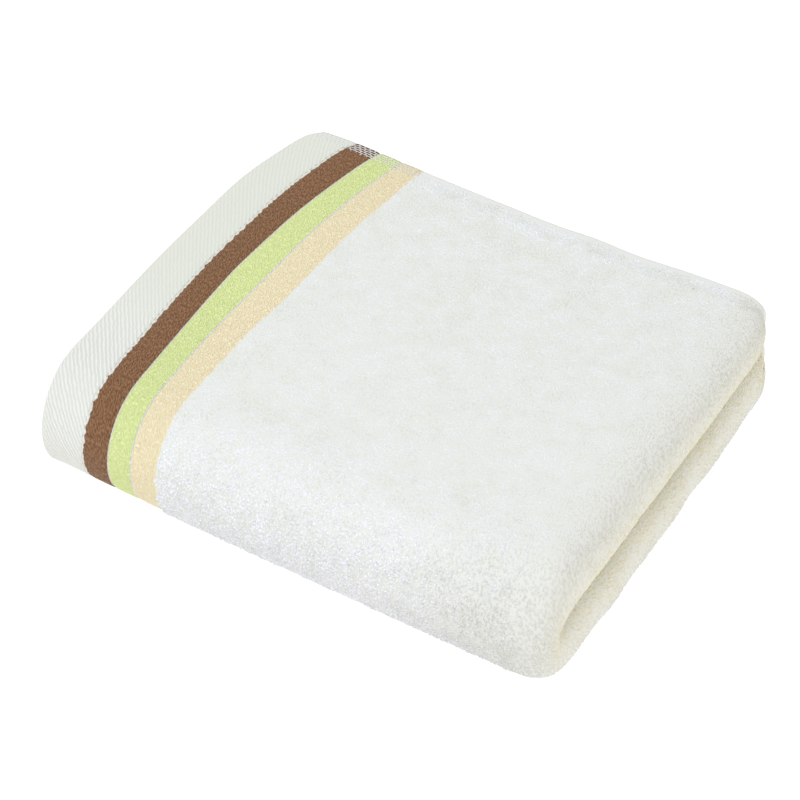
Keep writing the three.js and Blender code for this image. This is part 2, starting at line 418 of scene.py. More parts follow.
@dataclass
class ClothCourse:
    """The run of the cloth from the upper hem to the lower one, as a table by length."""

    form: FoldedForm
    rolled_reach: float = 14.2
    rolled_fullness: float = 2.23
    inner_fullness: float = 4.0
    inner_reach: float = 8.4
    hem_side_reach: float = 6.2
    hem_side_x: float = 10.0
    lower_hem_x: float = 2.5
    turn_samples: int = 160
    rolled_x: float = field(init=False)
    lengths: Array = field(init=False, repr=False)
    table: Array = field(init=False, repr=False)
    marks: list[float] = field(init=False)

    def __post_init__(self) -> None:
        """Lay the stretches end to end and measure the length along them."""
        self.rolled_x = self.form.folded_length - self.rolled_reach
        stretches = (
            Flat(1, 0.0, self.rolled_x),
            Turn(1, 4, self.rolled_x, way=1, reach=self.rolled_reach, face_out=1),
            Flat(4, self.rolled_x, self.hem_side_x),
            Turn(4, 3, self.hem_side_x, way=-1, reach=self.hem_side_reach, face_out=1),
            Flat(3, self.hem_side_x, self.rolled_x),
            Turn(3, 2, self.rolled_x, way=1, reach=self.inner_reach, face_out=-1),
            Flat(2, self.rolled_x, self.lower_hem_x),
        )
        parts = [self.flat(s) if isinstance(s, Flat) else self.turn(s) for s in stretches]
        self.table = np.concatenate(parts)
        rise = np.diff(self.table[:, 1]) * self.form.layer_pitch(self.table[1:, 0])
        steps = np.hypot(np.diff(self.table[:, 0]), rise)
        self.lengths = np.concatenate(([0.0], np.cumsum(steps)))
        ends = np.cumsum([len(part) for part in parts]) - 1
        self.marks = [0.0, *(float(self.lengths[end]) for end in ends)]

    def flat(self, stretch: Flat) -> Array:
        """Lay a flat stretch, from its start to its end.

        Args:
            stretch: The stretch.

        Returns:
            Rows of x, layer depth and the two parts of the face's direction.
        """
        towards = -1.0 if stretch.layer in (1, 3) else 1.0
        depth = stretch.layer - 0.5
        return np.array([[x, depth, 0.0, towards] for x in (stretch.start, stretch.end)])

    def turn(self, stretch: Turn) -> Array:
        """Lay a turn round half a superellipse.

        A turn that ends on the innermost layer is fuller in its second quarter, so that the two
        rolls lie close to each other.

        Args:
            stretch: The turn.

        Returns:
            Rows of x, layer depth and the two parts of the face's direction.
        """
        power = 2 / self.rolled_fullness
        inner_power = 2 / self.inner_fullness if stretch.to_layer == self.form.layers else power
        cloth = float(self.form.layer_pitch(np.array(stretch.x))) - self.form.layer_gap
        reach = stretch.reach - cloth / 2
        half_span = (stretch.to_layer - stretch.from_layer) / 2
        middle = (stretch.to_layer + stretch.from_layer - 1) / 2
        angle = np.linspace(0.0, math.pi, self.turn_samples)[1:-1]
        share = np.where(angle > math.pi / 2, inner_power, power)
        out = np.sin(angle) ** share
        down = signed_power(-np.cos(angle), share)
        return np.stack(
            [
                stretch.x + stretch.way * reach * out,
                middle + half_span * down,
                stretch.face_out * stretch.way * out,
                stretch.face_out * math.copysign(1, half_span) * down,
            ],
            axis=1,
        )

    @property
    def total(self) -> float:
        """Length of the whole cloth, hem to hem."""
        return float(self.lengths[-1])

    def at(self, length: Array) -> tuple[Array, Array, Array, Array]:
        """Look up where the cloth's middle lies.

        Args:
            length: Distance from the upper hem.

        Returns:
            X, layer depth and the two parts of the face's direction.
        """
        x, layer, toward_x, toward_depth = (
            np.interp(length, self.lengths, column) for column in self.table.T
        )
        return x, layer, toward_x, toward_depth


@dataclass
class WovenBorder:
    """The flat-woven border at each end: a twill band, then three satin stripes.

    The four lines are the stripes' edges by the distance from the hem, in a straight border. The
    weave wanders, so the edges as woven stand in rows by the distance from the upper selvedge.
    """

    lines: tuple[float, ...] = (16.0, 25.3, 35.0, 44.8)
    wander: tuple[tuple[float, ...], ...] = (
        (0.0, 15.3, 26.4, 36.2, 45.0),
        (20.0, 15.4, 26.0, 35.5, 45.7),
        (50.0, 15.4, 25.1, 35.0, 45.7),
        (80.0, 15.3, 24.5, 35.3, 46.4),
        (110.0, 15.9, 25.4, 34.5, 44.5),
        (140.0, 16.6, 26.0, 34.3, 43.9),
        (165.0, 16.5, 26.0, 34.6, 44.1),
        (185.0, 16.0, 25.8, 35.0, 44.9),
        (350.0, 16.0, 25.3, 35.0, 44.8),
    )
    settled: float = 70.0
    groove_depth: float = 0.28
    groove_width: float = 0.55
    satin_crown: float = 0.2

    def line_at(self, index: int, across: Array) -> Array:
        """Distance from the hem of one stripe edge as woven."""
        rows = np.array(self.wander)
        return np.interp(across, rows[:, 0], rows[:, index + 1])

    def woven_to_real(self, woven: Array, across: Array) -> Array:
        """Distance from the hem of a place given in the straight border.

        Between two edges the distance is shared evenly, and past the border it settles to itself.

        Args:
            woven: Distance from the hem in the straight border.
            across: Distance from the upper selvedge.

        Returns:
            Distance from the hem as woven.
        """
        real = woven.astype(float)
        starts = (0.0, *self.lines)
        ends = (*self.lines, self.settled)
        real_edges = [np.zeros_like(real)]
        real_edges += [self.line_at(i, across) for i in range(len(self.lines))]
        real_edges.append(np.full_like(real, self.settled))
        for i, (start, end) in enumerate(zip(starts, ends)):
            inside = (woven >= start) & (woven < end)
            t = (woven - start) / (end - start)
            here = real_edges[i] + (real_edges[i + 1] - real_edges[i]) * t
            real = np.where(inside, here, real)
        return real

    def relief(self, woven: Array) -> Array:
        """Height of the border's own relief.

        Each stripe is crowned by 1 less the fourth power of the way from its middle, and each
        stripe's outer edge has a bell-shaped groove.

        Args:
            woven: Distance from the hem in the straight border.

        Returns:
            The height, negative in a groove.
        """
        rise = np.zeros_like(woven)
        for start, end in zip(self.lines[:-1], self.lines[1:]):
            t = np.clip((woven - start) / (end - start), 0.0, 1.0)
            rise = rise + self.satin_crown * (1 - (2 * t - 1) ** 4) * ((t > 0) & (t < 1))
        for line in self.lines[:-1]:
            rise = rise - self.groove_depth * np.exp(-(((woven - line) / self.groove_width) ** 2))
        return rise


@dataclass
class TerryCloth:
    """The whole cloth in its folds: its thickness, its weave's places and its two faces."""

    form: FoldedForm
    course: ClothCourse
    border: WovenBorder
    mottle: Mottle
    uneven: float = 0.12
    selvedge_width: float = 3.5
    selvedge_step: float = 4.0
    pile_step: float = 1.5
    flat_weave: float = 2.2
    hem_bead: float = 2.7
    hem_bead_width: float = 3.0
    hem_edge: float = 1.2
    hem_edge_width: float = 0.8
    pile_height: float = 0.45
    sole_rise: float = 0.1
    sole_flat_share: float = 0.35
    sole_corner_share: float = 0.9
    sole_edge_slope: float = 0.02
    sole_sink: tuple[float, float] = (0.6, 0.8)
    floor_clear: tuple[float, float] = (0.3, 2.6)
    inner_layers: tuple[float, float] = (0.6, 3.3)

    @property
    def width(self) -> float:
        """Width of the cloth between its selvedges."""
        return self.form.cloth_width

    @property
    def length(self) -> float:
        """Length of the cloth, hem to hem."""
        return self.course.total

    def from_end(self, u: Array) -> Array:
        """Distance from the nearer hem."""
        return np.minimum(u, self.length - u)

    def from_side(self, v: Array) -> Array:
        """Distance from the nearer selvedge."""
        return np.minimum(v, self.width - v)

    def terry_share(self, u: Array, v: Array) -> Array:
        """How far a place lies in the pile.

        Args:
            u: Distance from the upper hem.
            v: Distance from the upper selvedge.

        Returns:
            1 where the loops stand, 0 on the flat weave, rising evenly over the pile's step.
        """
        edge = self.border.line_at(len(self.border.lines) - 1, v)
        along = ramp(self.from_end(u) - edge, -self.pile_step / 2, self.pile_step)
        return along * ramp(self.from_side(v), self.selvedge_width, self.selvedge_step)

    def thickness(self, u: Array, v: Array, x: Array) -> Array:
        """Thickness of the cloth with its pile, thicker where the hem is turned in.

        Args:
            u: Distance from the upper hem.
            v: Distance from the upper selvedge.
            x: Place along the stack.

        Returns:
            The thickness.
        """
        from_end = self.from_end(u)
        bead = self.hem_bead - self.flat_weave
        edge = self.hem_bead - self.hem_edge
        flat = (
            self.flat_weave
            + bead * (1 - ramp(from_end, self.hem_bead_width, self.hem_bead_width))
            - edge * (1 - ramp(from_end, 0.0, self.hem_edge_width))
        )
        full = self.form.layer_pitch(x) - self.form.layer_gap
        return flat + (full - flat) * self.terry_share(u, v)

    def sole_height(self, x: Array, v: Array) -> Array:
        """Height of the underside over the surface, nothing in its middle and at four corners.

        The underside is a rectangle of terry. Between its middle and its edges it rises smoothly,
        less the square of the product of the two distances from the middle, and past the
        rectangle it rises evenly.

        Args:
            x: Place along the stack.
            v: Distance from the upper selvedge.

        Returns:
            The height.
        """
        near = self.width / 2 + self.form.lower.total
        far = self.width - self.selvedge_width - self.selvedge_step
        hem_side = self.border.lines[-1] + self.pile_step / 2
        rolled = self.course.rolled_x
        a = np.abs(x - (hem_side + rolled) / 2) / ((rolled - hem_side) / 2)
        b = np.abs(v - (near + far) / 2) / ((far - near) / 2)
        between = 1 - (np.minimum(a, 1) * np.minimum(b, 1)) ** 2
        outward = smooth(np.maximum(a, b), self.sole_flat_share, self.sole_corner_share)
        beyond = np.clip(hem_side - x, 0, None) + np.clip(v - far, 0, None)
        return self.sole_rise * between * outward + self.sole_edge_slope * beyond

    def towards_sole(self, x: Array, layer: Array, v: Array, thickness: Array) -> Array:
        """How far the outside layer of the lower half moves towards the surface it rests on.

        The thinner flat weave sinks until it touches the surface, and the whole layer rises by
        the height of the underside.

        Args:
            x: Place along the stack.
            layer: Layer depth, 0.5 in the middle of the outer layer.
            v: Distance from the upper selvedge.
            thickness: Thickness of the cloth.

        Returns:
            The move outwards.
        """
        share = v / self.width
        outer = np.clip(1.5 - layer, 0.0, 1.0)
        spare = (self.form.layer_pitch(x) - self.form.layer_gap - thickness) / 2
        folded = smooth(share, 0.5, 0.5 + self.form.lower.total / self.width)
        sunk = spare * smooth(share, *self.sole_sink)
        return outer * (sunk - folded * self.sole_height(x, v))

    def point(self, u: Array, v: Array, side: Side, lift: Array | float = 0.0) -> Array:
        """Place a point on or over one face of the cloth, at its full thickness.

        Args:
            u: Distance from the upper hem, along the cloth.
            v: Distance from the upper selvedge, across it.
            side: Which face.
            lift: Height over that face, or under it where it is negative.

        Returns:
            Points, with X, Y and Z in the last axis.
        """
        x, layer, toward_x, toward_depth = self.course.at(u)
        thickness = self.thickness(u, v, x)
        offset = side.value * (thickness / 2 + lift)
        depth = layer * self.form.layer_pitch(x) + offset * toward_depth
        depth = depth - self.towards_sole(x, layer, v, thickness)
        return self.form.place(x + offset * toward_x, v / self.width, depth)

    def loops_share(self, u: Array, v: Array, side: Side) -> Array:
        """1 where separate loops stand on a face, fading to 0 close over the floor."""
        height = self.point(u, v, side)[..., 2]
        return self.terry_share(u, v) * smooth(height, *self.floor_clear)

    def inwardness(self, u: Array) -> Array:
        """0 on the outside of the stack, rising to 1 deep in its folds."""
        return smooth(self.course.at(u)[1], *self.inner_layers)

    def ground_lift(self, u: Array, v: Array, side: Side) -> Array:
        """Height over a face of the ground that the loops stand on, sunk and softly uneven."""
        sunk = self.uneven * self.mottle.at(u, v) - self.pile_height
        return sunk * self.loops_share(u, v, side)


def add_mesh(
    name: str, points: Array, faces: Array, attributes: dict[str, Array]
) -> bpy.types.Object:
    """Make an object from points in millimetres and faces with one number of corners.

    Args:
        name: Name of the object and its mesh.
        points: Points, three columns.
        faces: Indices of the points round each face, seen from outside anticlockwise.
        attributes: Values for each point, with three columns, by name.

    Returns:
        The new object, in the scene, smooth shaded.
    """
    mesh = bpy.data.meshes.new(name)
    mesh.vertices.add(len(points))
    mesh.vertices.foreach_set("co", (points * MM).astype(np.float32).ravel())
    corners = faces.shape[1]
    mesh.loops.add(faces.size)
    mesh.loops.foreach_set("vertex_index", faces.astype(np.int32).ravel())
    mesh.polygons.add(len(faces))
    mesh.polygons.foreach_set("loop_start", np.arange(0, faces.size, corners, dtype=np.int32))
    mesh.update(calc_edges=True)
    mesh.shade_smooth()
    for key, values in attributes.items():
        layer = mesh.attributes.new(key, "FLOAT_VECTOR", "POINT")
        layer.data.foreach_set("vector", values.astype(np.float32).ravel())
    piece = bpy.data.objects.new(name, mesh)
    bpy.context.scene.collection.objects.link(piece)
    return piece


def eased_marks(start: float, end: float, steps: int) -> Array:
    """Marks from start to just before end, closer together at both."""
    t = np.arange(steps) / steps
    return start + (end - start) * (t + 0.6 * (smooth(t, 0.0, 1.0) - t))


def even_marks(start: float, end: float, step: float) -> Array:
    """Marks from start to just before end, about a step apart."""
    count = max(1, round((end - start) / step))
    return start + (end - start) * np.arange(count) / count


@dataclass
class TowelSheet:
    """The cloth itself as one closed sheet, with its hems, stripes and selvedges."""

    cloth: TerryCloth
    centre: Array
    flat_step: float = 3.2
    hidden_step: float = 6.0
    turn_step: float = 1.5
    fold_step: float = 1.25

    def border_marks(self) -> Array:
        """Marks over one border, closer together where the bead and the stripes curve.

        Returns:
            Distances from the hem in the straight weave.
        """
        cloth = self.cloth
        lines = cloth.border.lines
        last = lines[-1]
        step = cloth.pile_step
        return np.concatenate(
            [
                [0.0, 0.35, cloth.hem_edge_width, 1.6, 2.4, cloth.hem_bead_width, 4.4],
                even_marks(2 * cloth.hem_bead_width, lines[0], 1.6)[:-1],
                [lines[0] - 0.9, lines[0] - 0.45],
                *(eased_marks(a, b, 12) for a, b in zip(lines[:-1], lines[1:])),
                [last, last + step / 4, last + step / 2, last + step, last + 2 * step],
            ]
        )

    def marks_along(self) -> tuple[Array, Array]:
        """Marks along the whole cloth.

        Returns:
            The marks of the upper border, in the straight weave, and the marks past both borders.
        """
        border = self.border_marks()
        reach = self.cloth.border.settled
        ends = self.cloth.course.marks
        steps = (
            self.flat_step,
            self.turn_step,
            self.hidden_step,
            self.turn_step,
            self.hidden_step,
            self.turn_step,
            self.hidden_step,
        )
        spans = [even_marks(border[-1] + 1.5, reach, self.flat_step)]
        for start, end, step in zip(ends[:-1], ends[1:], steps):
            low = max(start, reach)
            high = min(end, self.cloth.length - reach)
            spans.append(even_marks(low, high, step))
        tail = even_marks(border[-1] + 1.5, reach, self.flat_step)
        spans.append(self.cloth.length - np.array([reach]))
        spans.append(self.cloth.length - tail[::-1])
        return border, np.concatenate(spans)

    def marks_across(self) -> Array:
        """Marks across the cloth, fine round the long fold.

        Returns:
            Distances from the upper selvedge.
        """
        cloth = self.cloth
        width = cloth.width
        pile = cloth.selvedge_width + cloth.selvedge_step
        upper = width / 2 - cloth.form.upper.total
        lower = width / 2 + cloth.form.lower.total
        edge = np.array([0.0, 0.5, 1.6, 2.6, cloth.selvedge_width, 4.8, 6.1])
        return np.concatenate(
            [
                edge,
                even_marks(pile, upper, self.flat_step),
                even_marks(upper, width / 2, self.fold_step),
                even_marks(width / 2, lower, self.fold_step),
                even_marks(lower, width - pile, self.hidden_step),
                [width - pile],
                width - edge[::-1],
            ]
        )

    def weave_grid(self) -> tuple[Array, Array, Array]:
        """Lay a grid over the flat cloth whose rows follow the stripes.

        Returns:
            Distance from the upper hem, distance from the upper selvedge, and distance from the
            nearer hem in the straight weave, each with a row for each mark along the cloth.
        """
        border_marks, rest = self.marks_along()
        v = self.marks_across()
        border = self.cloth.border
        woven = np.repeat(border_marks[:, None], len(v), axis=1)
        real = border.woven_to_real(woven, np.repeat(v[None, :], len(border_marks), axis=0))
        middle = np.repeat(rest[:, None], len(v), axis=1)
        u = np.concatenate([real, middle, self.cloth.length - real[::-1]])
        straight = np.concatenate([woven, self.cloth.from_end(middle), woven[::-1]])
        return u, np.broadcast_to(v, u.shape), straight

    def build(self) -> bpy.types.Object:
        """Build the sheet: a grid on each face, joined round the four edges.

        Each face lies half the cloth's thickness from its middle, less the height of the loops
        where they stand as pieces of their own, plus the border's relief and a soft unevenness.

        Returns:
            The finished object.
        """
        u, v, woven = self.weave_grid()
        rows, columns = u.shape
        points = []
        weave = []
        for side in Side:
            flat = 1 - self.cloth.terry_share(u, v)
            clear = smooth(self.cloth.point(u, v, side)[..., 2], *self.cloth.floor_clear)
            lift = self.cloth.border.relief(woven) * flat * clear
            lift = lift + self.cloth.ground_lift(u, v, side)
            points.append(self.cloth.point(u, v, side, lift).reshape(-1, 3))
            side_share = self.cloth.from_side(v)
            weave.append(np.stack([woven, v, side_share], axis=-1).reshape(-1, 3))
        faces = sheet_faces(rows, columns)
        placed = np.concatenate(points) + self.centre
        return add_mesh("towel_cloth", placed, faces, {"weave": np.concatenate(weave)})


def sheet_faces(rows: int, columns: int) -> Array:
    """Join two grids of points into one closed sheet.

    Args:
        rows: Rows of each grid.
        columns: Columns of each grid.

    Returns:
        Quads for both faces and for the strips round the four edges.
    """
    index = np.arange(2 * rows * columns).reshape(2, rows, columns)
    front, back = index
    quads = [
        np.stack([front[:-1, :-1], front[:-1, 1:], front[1:, 1:], front[1:, :-1]], axis=-1),
        np.stack([back[:-1, :-1], back[1:, :-1], back[1:, 1:], back[:-1, 1:]], axis=-1),
    ]
    strips = [
        (front[:-1, 0], front[1:, 0], back[1:, 0], back[:-1, 0]),
        (front[:-1, -1], back[:-1, -1], back[1:, -1], front[1:, -1]),
        (front[0, :-1], back[0, :-1], back[0, 1:], front[0, 1:]),
        (front[-1, :-1], front[-1, 1:], back[-1, 1:], back[-1, :-1]),
    ]
    quads = [q.reshape(-1, 4) for q in quads] + [np.stack(s, axis=-1) for s in strips]
    return np.concatenate(quads)


@dataclass(frozen=True)
class PilePatch:
    """A stretch of pile: where it lies on the cloth and how close its loops stand."""

    name: str
    side: Side
    along: tuple[float, float]
    across: tuple[float, float]
    spacing: float
    size: float = 1.0
    edge_only: float = 0.0


@dataclass
class PileLoops:
    """Loops of the pile, each the rounded top of one loop of yarn.

    A loop top is a small long hood: two tips, four points at its sides and two on its ridge.
    Heights of loops are shares of the full height, and tones are between 0, dark, and 1.
    """

    cloth: TerryCloth
    centre: Array
    rng: np.random.Generator
    length: float = 1.65
    width: float = 0.86
    height: float = 0.45
    sizes: tuple[float, float] = (0.8, 1.2)
    root_depth: float = 0.14
    row_ratio: float = 1.25
    turned: float = 0.34
    lean: float = 0.16
    ragged: float = 0.9
    from_border: float = 0.5
    from_selvedge: float = 2.4
    from_floor: float = 0.6
    clumped: float = 0.55
    uneven: float = 0.2
    flat_rise: float = 0.42
    fold_rise: float = 0.95
    roll_rise: float = 0.4
    fold_opens: tuple[float, float] = (-12.0, 30.0)
    roll_tightens: tuple[float, float] = (-6.0, 14.0)
    roll_shade_reach: float = 50.0
    bend: float = 0.85
    bend_by_rise: tuple[float, float] = (0.7, 0.6)
    clump_tone: float = 0.5
    knot_tone: float = 0.55
    blotch_tone: float = 0.3
    loop_tone: float = 0.15
    open_evens: float = 0.5
    roll_evens: float = 0.75
    hood: tuple[tuple[float, float, float], ...] = (
        (-1.0, 0.0, -0.15),
        (1.0, 0.0, -0.15),
        (-0.5, -1.0, 0.0),
        (0.5, -1.0, 0.0),
        (0.5, 1.0, 0.0),
        (-0.5, 1.0, 0.0),
        (-0.42, 0.0, 1.0),
        (0.42, 0.0, 1.0),
    )
    hood_faces: tuple[tuple[int, int, int], ...] = (
        (0, 2, 6),
        (0, 6, 5),
        (1, 7, 3),
        (1, 4, 7),
        (2, 3, 7),
        (2, 7, 6),
        (4, 5, 6),
        (4, 6, 7),
        (0, 5, 2),
        (5, 4, 2),
        (2, 4, 3),
        (1, 3, 4),
    )
    clumps: Mottle = field(init=False)
    jags: Mottle = field(init=False)
    knots: Mottle = field(init=False)
    blotches: Mottle = field(init=False)

    def __post_init__(self) -> None:
        """Draw the patterns of the clumps, the ragged edge, the knots and the wide blotches."""
        self.clumps = Mottle(cell=1.9, rng=self.rng)
        self.jags = Mottle(cell=2.3, rng=self.rng)
        self.knots = Mottle(cell=3.7, rng=self.rng)
        self.blotches = Mottle(cell=9.0, rng=self.rng)

    def openness(self, v: Array) -> Array:
        """1 where the long fold spreads the loops apart, 0 on the top."""
        fold = self.cloth.width / 2 - self.cloth.form.upper.total
        return smooth(v, *(fold + part for part in self.fold_opens))

    def rolled(self, u: Array) -> Array:
        """0 on the top, rising to 1 where the cloth is rolled tight."""
        roll = self.cloth.course.rolled_x
        return smooth(u, *(roll + part for part in self.roll_tightens))

    def shaded(self, u: Array, v: Array) -> Array:
        """How far the cloth turns from the light: on the rolls, and along the fold towards them.

        Args:
            u: Distances from the upper hem.
            v: Distances from the upper selvedge.

        Returns:
            0 on the top, 1 on the rolls.
        """
        roll = self.cloth.course.rolled_x
        along_fold = self.openness(v) * smooth(u, roll - self.roll_shade_reach, roll)
        return np.maximum(self.rolled(u), along_fold)

    def rise_at(self, u: Array, v: Array) -> Array:
        """How tall the loops stand: pressed on the top and the rolls, open on the long fold."""
        rise = self.flat_rise + (self.fold_rise - self.flat_rise) * self.openness(v)
        return rise + (self.roll_rise - rise) * self.rolled(u)

    def tones(self, u: Array, v: Array) -> Array:
        """How light each loop is, mottled on the top and more even on the fold and the rolls.

        Args:
            u: Distances from the upper hem.
            v: Distances from the upper selvedge.

        Returns:
            The tones, about 0.5.
        """
        calm = self.open_evens * self.openness(v) * (1 - self.rolled(u))
        tone = self.clump_tone * self.clumps.at(u, v) + self.knot_tone * self.knots.at(u, v)
        tone = tone + self.blotch_tone * self.blotches.at(u, v)
        tone = tone + self.rng.uniform(-self.loop_tone, self.loop_tone, len(u))
        return 0.5 + tone * (1 - calm - self.roll_evens * self.rolled(u))

    def scatter(self, patch: PilePatch) -> tuple[Array, Array]:
        """Scatter loops over a patch in staggered rows, each loop moved a little at random.

        Args:
            patch: The patch to fill.

        Returns:
            Distances from the upper hem and from the upper selvedge.
        """
        step_u = patch.spacing / self.row_ratio
        step_v = patch.spacing * self.row_ratio
        u = np.arange(patch.along[0], patch.along[1], step_u)
        v = np.arange(patch.across[0], patch.across[1], step_v)
        stagger = (np.arange(len(u)) % 2) * step_v / 2
        grid_u = np.repeat(u[:, None], len(v), axis=1)
        grid_v = v[None, :] + stagger[:, None]
        spread_u = self.rng.uniform(-0.5, 0.5, grid_u.shape) * step_u
        spread_v = self.rng.uniform(-0.5, 0.5, grid_u.shape) * step_v
        grid_u = (grid_u + spread_u).ravel()
        grid_v = (grid_v + spread_v).ravel()
        keep = self.has_pile(grid_u, grid_v, patch)
        return grid_u[keep], grid_v[keep]

    def has_pile(self, u: Array, v: Array, patch: PilePatch) -> Array:
        """Where loops stand: past the ragged edge of the flat weave and clear of the floor.

        Args:
            u: Distances from the upper hem.
            v: Distances from the upper selvedge.
            patch: The patch that the loops belong to.

        Returns:
            True for each loop that stands.
        """
        cloth = self.cloth
        edge = cloth.border.line_at(len(cloth.border.lines) - 1, v)
        jag = self.rng.normal(0.0, self.ragged / 3, u.shape)
        jag = jag + self.ragged / 2 * self.jags.at(u, v)
        keep = cloth.from_end(u) > edge + self.from_border + jag
        keep &= cloth.from_side(v) > self.from_selvedge + jag
        keep &= cloth.point(u, v, patch.side)[:, 2] > cloth.floor_clear[0] + self.from_floor
        if patch.edge_only:
            keep &= cloth.from_side(v) < patch.edge_only
        return keep

    def axes(self, u: Array, v: Array, side: Side) -> tuple[Array, Array, Array]:
        """Find the directions of the weave on one face.

        Args:
            u: Distances from the upper hem.
            v: Distances from the upper selvedge.
            side: Which face.

        Returns:
            Unit directions along the cloth, across it and out of it.
        """
        step = 0.6
        at = self.cloth.point(u, v, side)
        along = self.cloth.point(u + step, v, side) - self.cloth.point(u - step, v, side)
        across = self.cloth.point(u, v + step, side) - self.cloth.point(u, v - step, side)
        out = np.cross(along, across)
        outward = self.cloth.point(u, v, side, 0.5) - at
        out = out * np.sign(np.sum(out * outward, axis=1))[:, None]
        along, across, out = (unit(direction) for direction in (along, across, out))
        return along, unit(np.cross(out, along)), out

    def hood_axes(self, u: Array, v: Array, side: Side, rise: Array) -> tuple[Array, ...]:
        """Turn each loop by a random angle from the weft's direction and lean it a little.

        Args:
            u: Distances from the upper hem.
            v: Distances from the upper selvedge.
            side: Which face.
            rise: How tall each loop stands, because a tall one leans further.

        Returns:
            Unit directions along each loop's ridge, to its side and up from the cloth.
        """
        along, across, out = self.axes(u, v, side)
        turn = self.rng.normal(0.0, self.turned, len(u))[:, None]
        lean = (rise * self.rng.normal(0.0, self.lean, len(u)))[:, None]
        ridge = np.cos(turn) * across + np.sin(turn) * along
        ridge = np.cos(lean) * ridge + np.sin(lean) * out
        wide = unit(np.cross(out, ridge))
        up = np.cross(ridge, wide)
        up = up * np.sign(np.sum(up * out, axis=1))[:, None]
        return ridge, np.cross(up, ridge), up

    def heights(self, u: Array, v: Array, rise: Array) -> Array:
        """Height of each loop from its root, which varies in clumps as in washed terry.

        Args:
            u: Distances from the upper hem.
            v: Distances from the upper selvedge.
            rise: How tall each loop stands.

        Returns:
            The heights.
        """
        taller = 1 + self.clumped * self.clumps.at(u, v)
        taller = taller + rise * self.rng.uniform(-self.uneven, self.uneven, len(u))
        return self.height * rise * taller + self.root_depth

    def build(self, patch: PilePatch) -> bpy.types.Object:
        """Build all the loops of a patch as one mesh.

        A corner's normal is the loop's up direction, bent outwards by its place on the hood. The
        loop attribute holds the corner's height and the loop's tone, and the lying attribute how
        open and how shaded the pile is there and how deep in the folds.

        Args:
            patch: The patch to fill.

        Returns:
            The finished object.
        """
        u, v = self.scatter(patch)
        count = len(u)
        rise = self.rise_at(u, v)
        ridge, wide, up = self.hood_axes(u, v, patch.side, rise)
        scale = patch.size * self.rng.uniform(*self.sizes, (count, 2))
        height = self.heights(u, v, rise)
        base = self.cloth.ground_lift(u, v, patch.side) - self.root_depth
        at = self.cloth.point(u, v, patch.side, base)
        hood = np.array(self.hood)
        points = (
            at[:, None, :]
            + (hood[:, 0, None] * self.length / 2)[None] * (scale[:, 0:1] * ridge)[:, None, :]
            + (hood[:, 1, None] * self.width / 2)[None] * (scale[:, 1:2] * wide)[:, None, :]
            + hood[None, :, 2, None] * (height[:, None] * up)[:, None, :]
        )
        corners = len(hood)
        faces = np.array(self.hood_faces)[None] + corners * np.arange(count)[:, None, None]
        high = np.tile(np.clip(hood[:, 2], 0, 1), count)
        tone = np.repeat(self.tones(u, v), corners)
        opened = self.openness(v) * (1 - self.rolled(u))
        lying = np.stack([opened, self.shaded(u, v), self.cloth.inwardness(u)], axis=-1)
        attributes = {
            "loop": np.stack([high, tone, np.zeros_like(tone)], axis=-1),
            "lying": np.repeat(lying, corners, axis=0),
        }
        placed = points.reshape(-1, 3) + self.centre
        piece = add_mesh(patch.name, placed, faces.reshape(-1, 3), attributes)
        aside = hood[:, 0, None] * ridge[:, None, :] + hood[:, 1, None] * wide[:, None, :]
        least, more = self.bend_by_rise
        bend = (self.bend * (least + more * rise))[:, None, None]
        normals = unit(up[:, None, :] + bend * aside)
        piece.data.normals_split_custom_set_from_vertices(normals.reshape(-1, 3))
        return piece


def unit(directions: Array) -> Array:
    """Directions with a length of 1."""
    return directions / np.linalg.norm(directions, axis=-1, keepdims=True)


